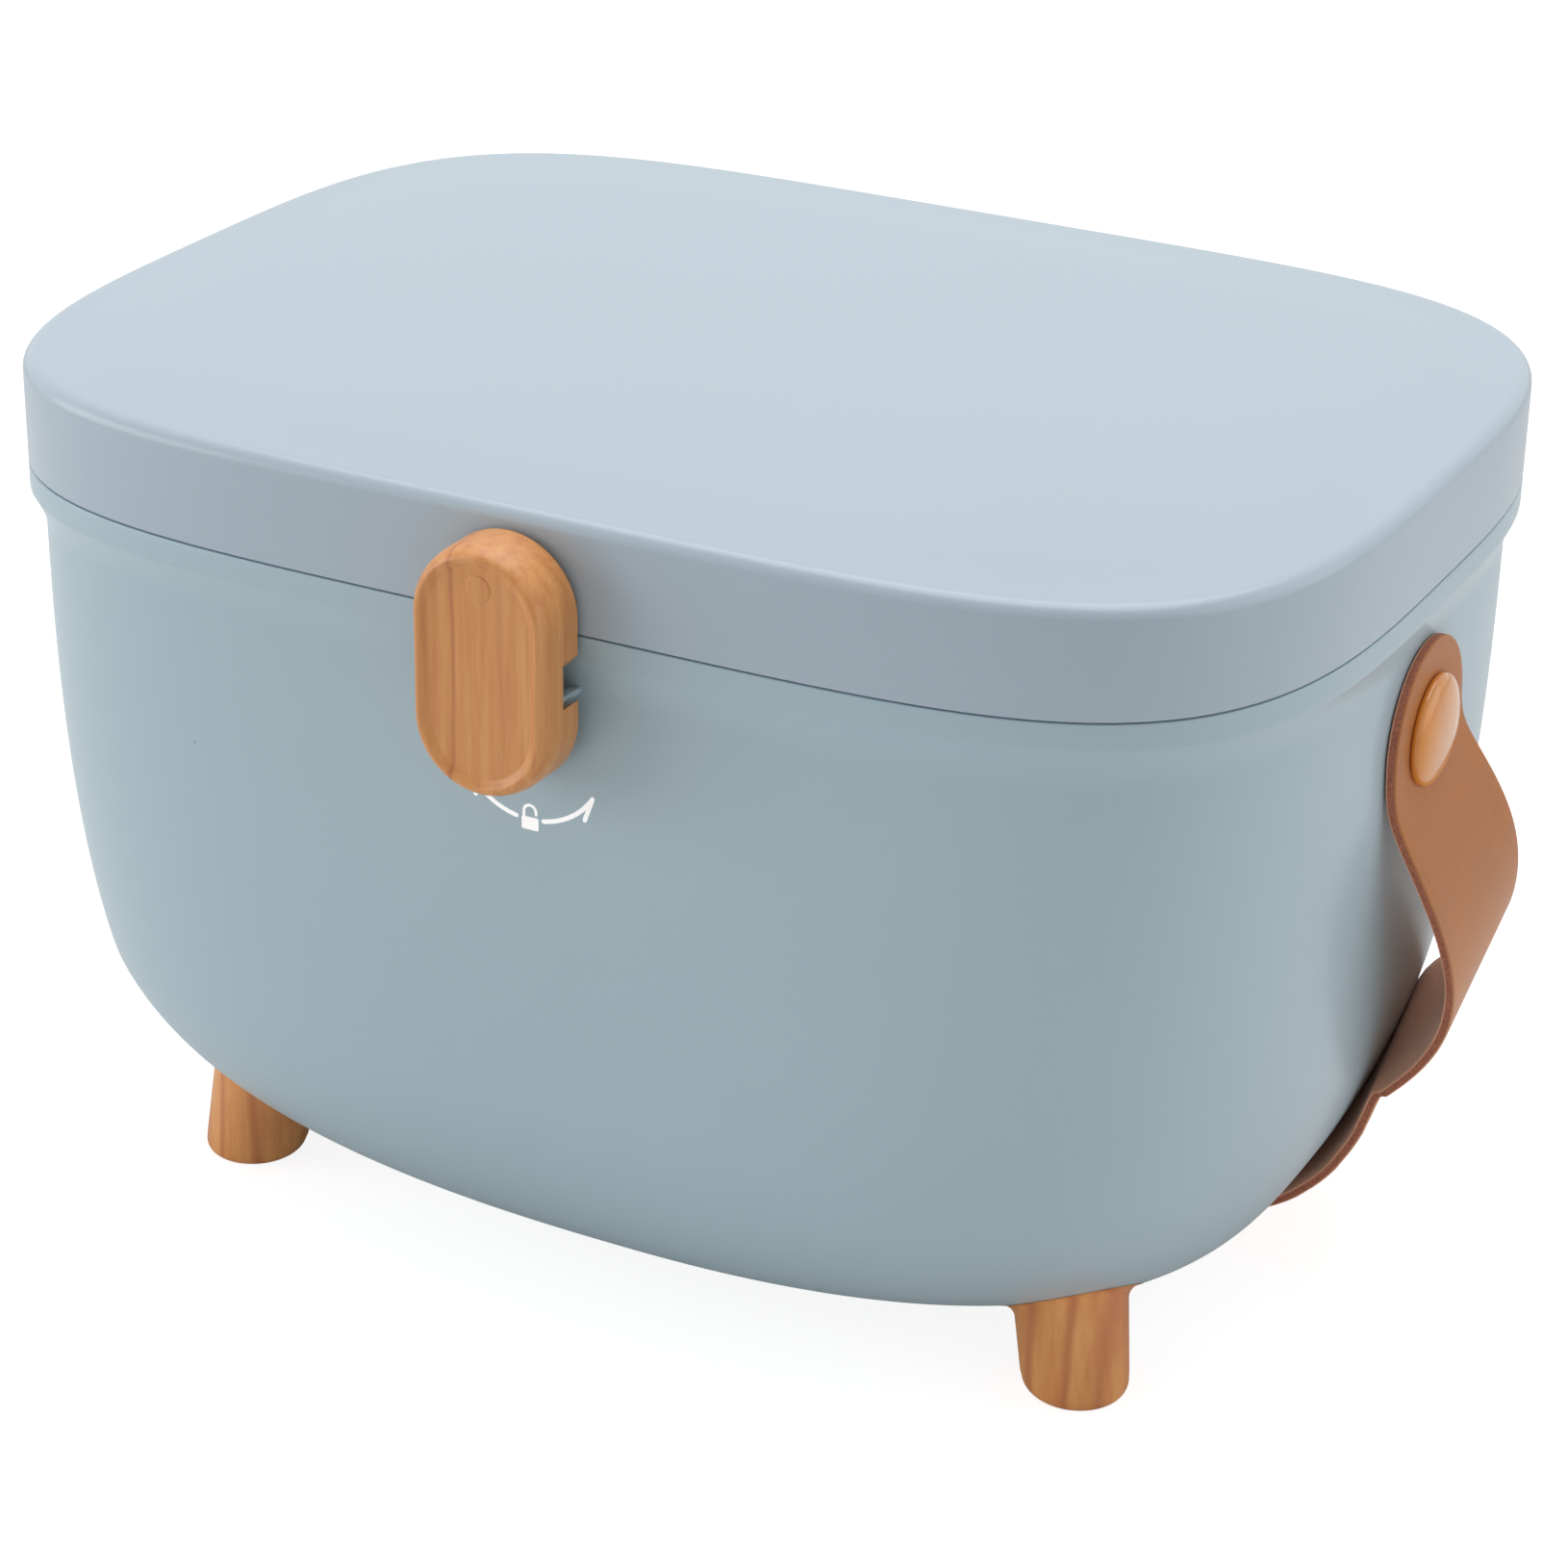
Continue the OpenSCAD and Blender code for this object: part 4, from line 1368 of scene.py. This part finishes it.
class BOX_OT_tray(bpy.types.Operator):
    """Round the edges of the lift-out tray"""
    bl_idname = "medicine_box.tray"
    bl_label = "Tray"

    def execute(self, context):
        only(frame["nodes"]["tray"])
        bpy.ops.object.duplicate()
        tray = named("lift_out_tray")
        for key in list(tray.keys()):
            del tray[key]
        tray.parent = None
        with editing(tray):
            bpy.ops.mesh.remove_doubles(threshold=TINY)
            bpy.ops.mesh.dissolve_limited(angle_limit=radians(1))
        bevelled(tray, context.scene.box_fitting.tray_bevel, 3, 50)
        look = moulded_plastic("satin_plastic_tray", context.scene.box_finish.tray, 0.45)
        finished(smoothed(tray), look, "tray", ["tray"])
        return {"FINISHED"}


class BOX_OT_print(bpy.types.Operator):
    """Print the turning sign under the knob"""
    bl_idname = "medicine_box.print"
    bl_label = "Printed sign"

    def execute(self, context):
        finished(turning_sign(form()), print_ink_glowing("white_ink", context.scene.box_finish.ink), "box")
        return {"FINISHED"}


class BOX_OT_metal(bpy.types.Operator):
    """Give the pins, screws and washers their steel"""
    bl_idname = "medicine_box.metal"
    bl_label = "Pins and screws"

    def execute(self, context):
        steel = brushed_steel("brushed_steel", context.scene.box_finish.steel)
        for name, node in frame["nodes"].items():
            if not node.hide_render:
                if not any(word in name for word in ("pin", "screw", "washer")):
                    raise RuntimeError(f"{name} has no finish of its own")
                for slot in node.material_slots:
                    slot.material = steel
        return {"FINISHED"}


class BOX_OT_stage(bpy.types.Operator):
    """Set up the floor, the soft lamps and the camera"""
    bl_idname = "medicine_box.stage"
    bl_label = "Stage"

    def execute(self, context):
        stage = context.scene.box_stage
        context.scene.view_settings.view_transform = "Standard"
        self.floor(stage.floor_white)
        self.surroundings(context, stage.fill)
        for name, place, size, power in (
                ("lamp_top", (-0.1, 0.25, 1.5), 1.4, stage.top),
                ("lamp_left", (-1.35, -0.85, 0.25), 1.2, stage.left),
                ("lamp_right", (1.5, 0.3, 0.3), 1.8, stage.right)):
            self.lamp(name, place, size, power)
        self.camera(context, stage)
        return {"FINISHED"}

    def floor(self, bright):
        bpy.ops.object.select_all(action="DESELECT")
        bpy.ops.mesh.primitive_plane_add(size=8)
        floor = named("floor")
        finish = Finish("pale_floor", roughness=1.0, specular_ior_level=0.0)
        soft = finish.noise(finish.place(), 3, 2)
        finish.show(base_color=finish.blend(soft, (0.88, 0.88, 0.88), (0.9, 0.9, 0.9)))
        seen = finish.node("LightPath", {}, output="Is Camera Ray")
        white = finish.node("Emission", {"Color": (1, 1, 1), "Strength": bright})
        body = Value(finish, finish.shader.outputs[0])
        white_part = 0.6
        mix = finish.node("MixShader", {0: seen * white_part, 1: body, 2: white})
        finish.links.new(mix.socket, finish.nodes["Material Output"].inputs["Surface"])
        floor.data.materials.append(finish.material)

    def surroundings(self, context, fill):
        world = bpy.data.worlds.new("studio")
        context.scene.world = world
        world.use_nodes = True
        nodes, links = world.node_tree.nodes, world.node_tree.links
        rays = nodes.new("ShaderNodeLightPath")
        seen = rays.outputs["Is Camera Ray"]
        for name in ("Is Glossy Ray", "Is Transmission Ray"):
            either = nodes.new("ShaderNodeMath")
            either.operation = "MAXIMUM"
            links.new(seen, either.inputs[0])
            links.new(rays.outputs[name], either.inputs[1])
            seen = either.outputs[0]
        level = nodes.new("ShaderNodeMapRange")
        links.new(seen, level.inputs["Value"])
        level.inputs["To Min"].default_value = fill
        level.inputs["To Max"].default_value = 1.0
        background = nodes["Background"]
        background.inputs["Color"].default_value = (1, 1, 1, 1)
        links.new(level.outputs[0], background.inputs["Strength"])

    def lamp(self, name, place, size, power):
        bpy.ops.object.light_add(type="AREA", location=place)
        lamp = bpy.context.active_object
        lamp.name = name
        lamp.data.size = size
        lamp.data.energy = power
        lamp.rotation_euler = (Vector(place) - Vector((0, 0, 0.1))).to_track_quat("Z", "Y").to_euler()

    def camera(self, context, stage):
        az, el = stage.azimuth, stage.elevation
        back = Vector((sin(az) * cos(el), -cos(az) * cos(el), sin(el)))
        right = Vector((cos(az), sin(az), 0))
        up = back.cross(right)
        turned_right = right * cos(stage.roll) + up * sin(stage.roll)
        turned_up = up * cos(stage.roll) - right * sin(stage.roll)
        bpy.ops.object.camera_add()
        camera = context.active_object
        camera.matrix_world = Matrix.Translation(Vector(stage.target) + back * stage.distance) @ Matrix(
            (turned_right, turned_up, back)).transposed().to_4x4()
        sensor = 36
        camera.data.sensor_width = sensor
        camera.data.lens = sensor * stage.lens_px / stage.image_px
        camera.data.shift_x = 0.5 - stage.centre_px / stage.image_px
        camera.data.clip_start = 0.05
        context.scene.camera = camera


class BOX_PT_panel(bpy.types.Panel):
    """Steps that build the medicine box"""
    bl_idname = "BOX_PT_panel"
    bl_label = "Medicine box"
    bl_space_type = "VIEW_3D"
    bl_region_type = "UI"
    bl_category = "Medicine box"

    def draw(self, context):
        for name, group, step in STEPS:
            part = self.layout.box()
            part.operator(step.bl_idname)
            for key in group.__annotations__:
                part.prop(getattr(context.scene, name), key)


# Settings on the scene, with the step shown beside them in the panel
STEPS = (
    ("box_shell", ShellSettings, BOX_OT_shells),
    ("box_fitting", FittingSettings, BOX_OT_tray),
    ("box_knob", KnobSettings, BOX_OT_latch),
    ("box_foot", FootSettings, BOX_OT_feet),
    ("box_strap", StrapSettings, BOX_OT_strap),
    ("box_print", PrintSettings, BOX_OT_print),
    ("box_finish", FinishSettings, BOX_OT_metal),
    ("box_stage", StageSettings, BOX_OT_stage),
)


def register():
    for name, group, step in STEPS:
        bpy.utils.register_class(group)
        setattr(bpy.types.Scene, name, PointerProperty(type=group))
        bpy.utils.register_class(step)
    bpy.utils.register_class(BOX_PT_panel)


def unregister():
    bpy.utils.unregister_class(BOX_PT_panel)
    for name, group, step in STEPS:
        bpy.utils.unregister_class(step)
        delattr(bpy.types.Scene, name)
        bpy.utils.unregister_class(group)


def main():
    register()
    bpy.ops.medicine_box.shells()
    bpy.ops.medicine_box.latch()
    bpy.ops.medicine_box.feet()
    bpy.ops.medicine_box.strap()
    bpy.ops.medicine_box.tray()
    bpy.ops.medicine_box.print()
    bpy.ops.medicine_box.metal()
    bpy.ops.medicine_box.stage()


if __name__ == "__main__":
    main()
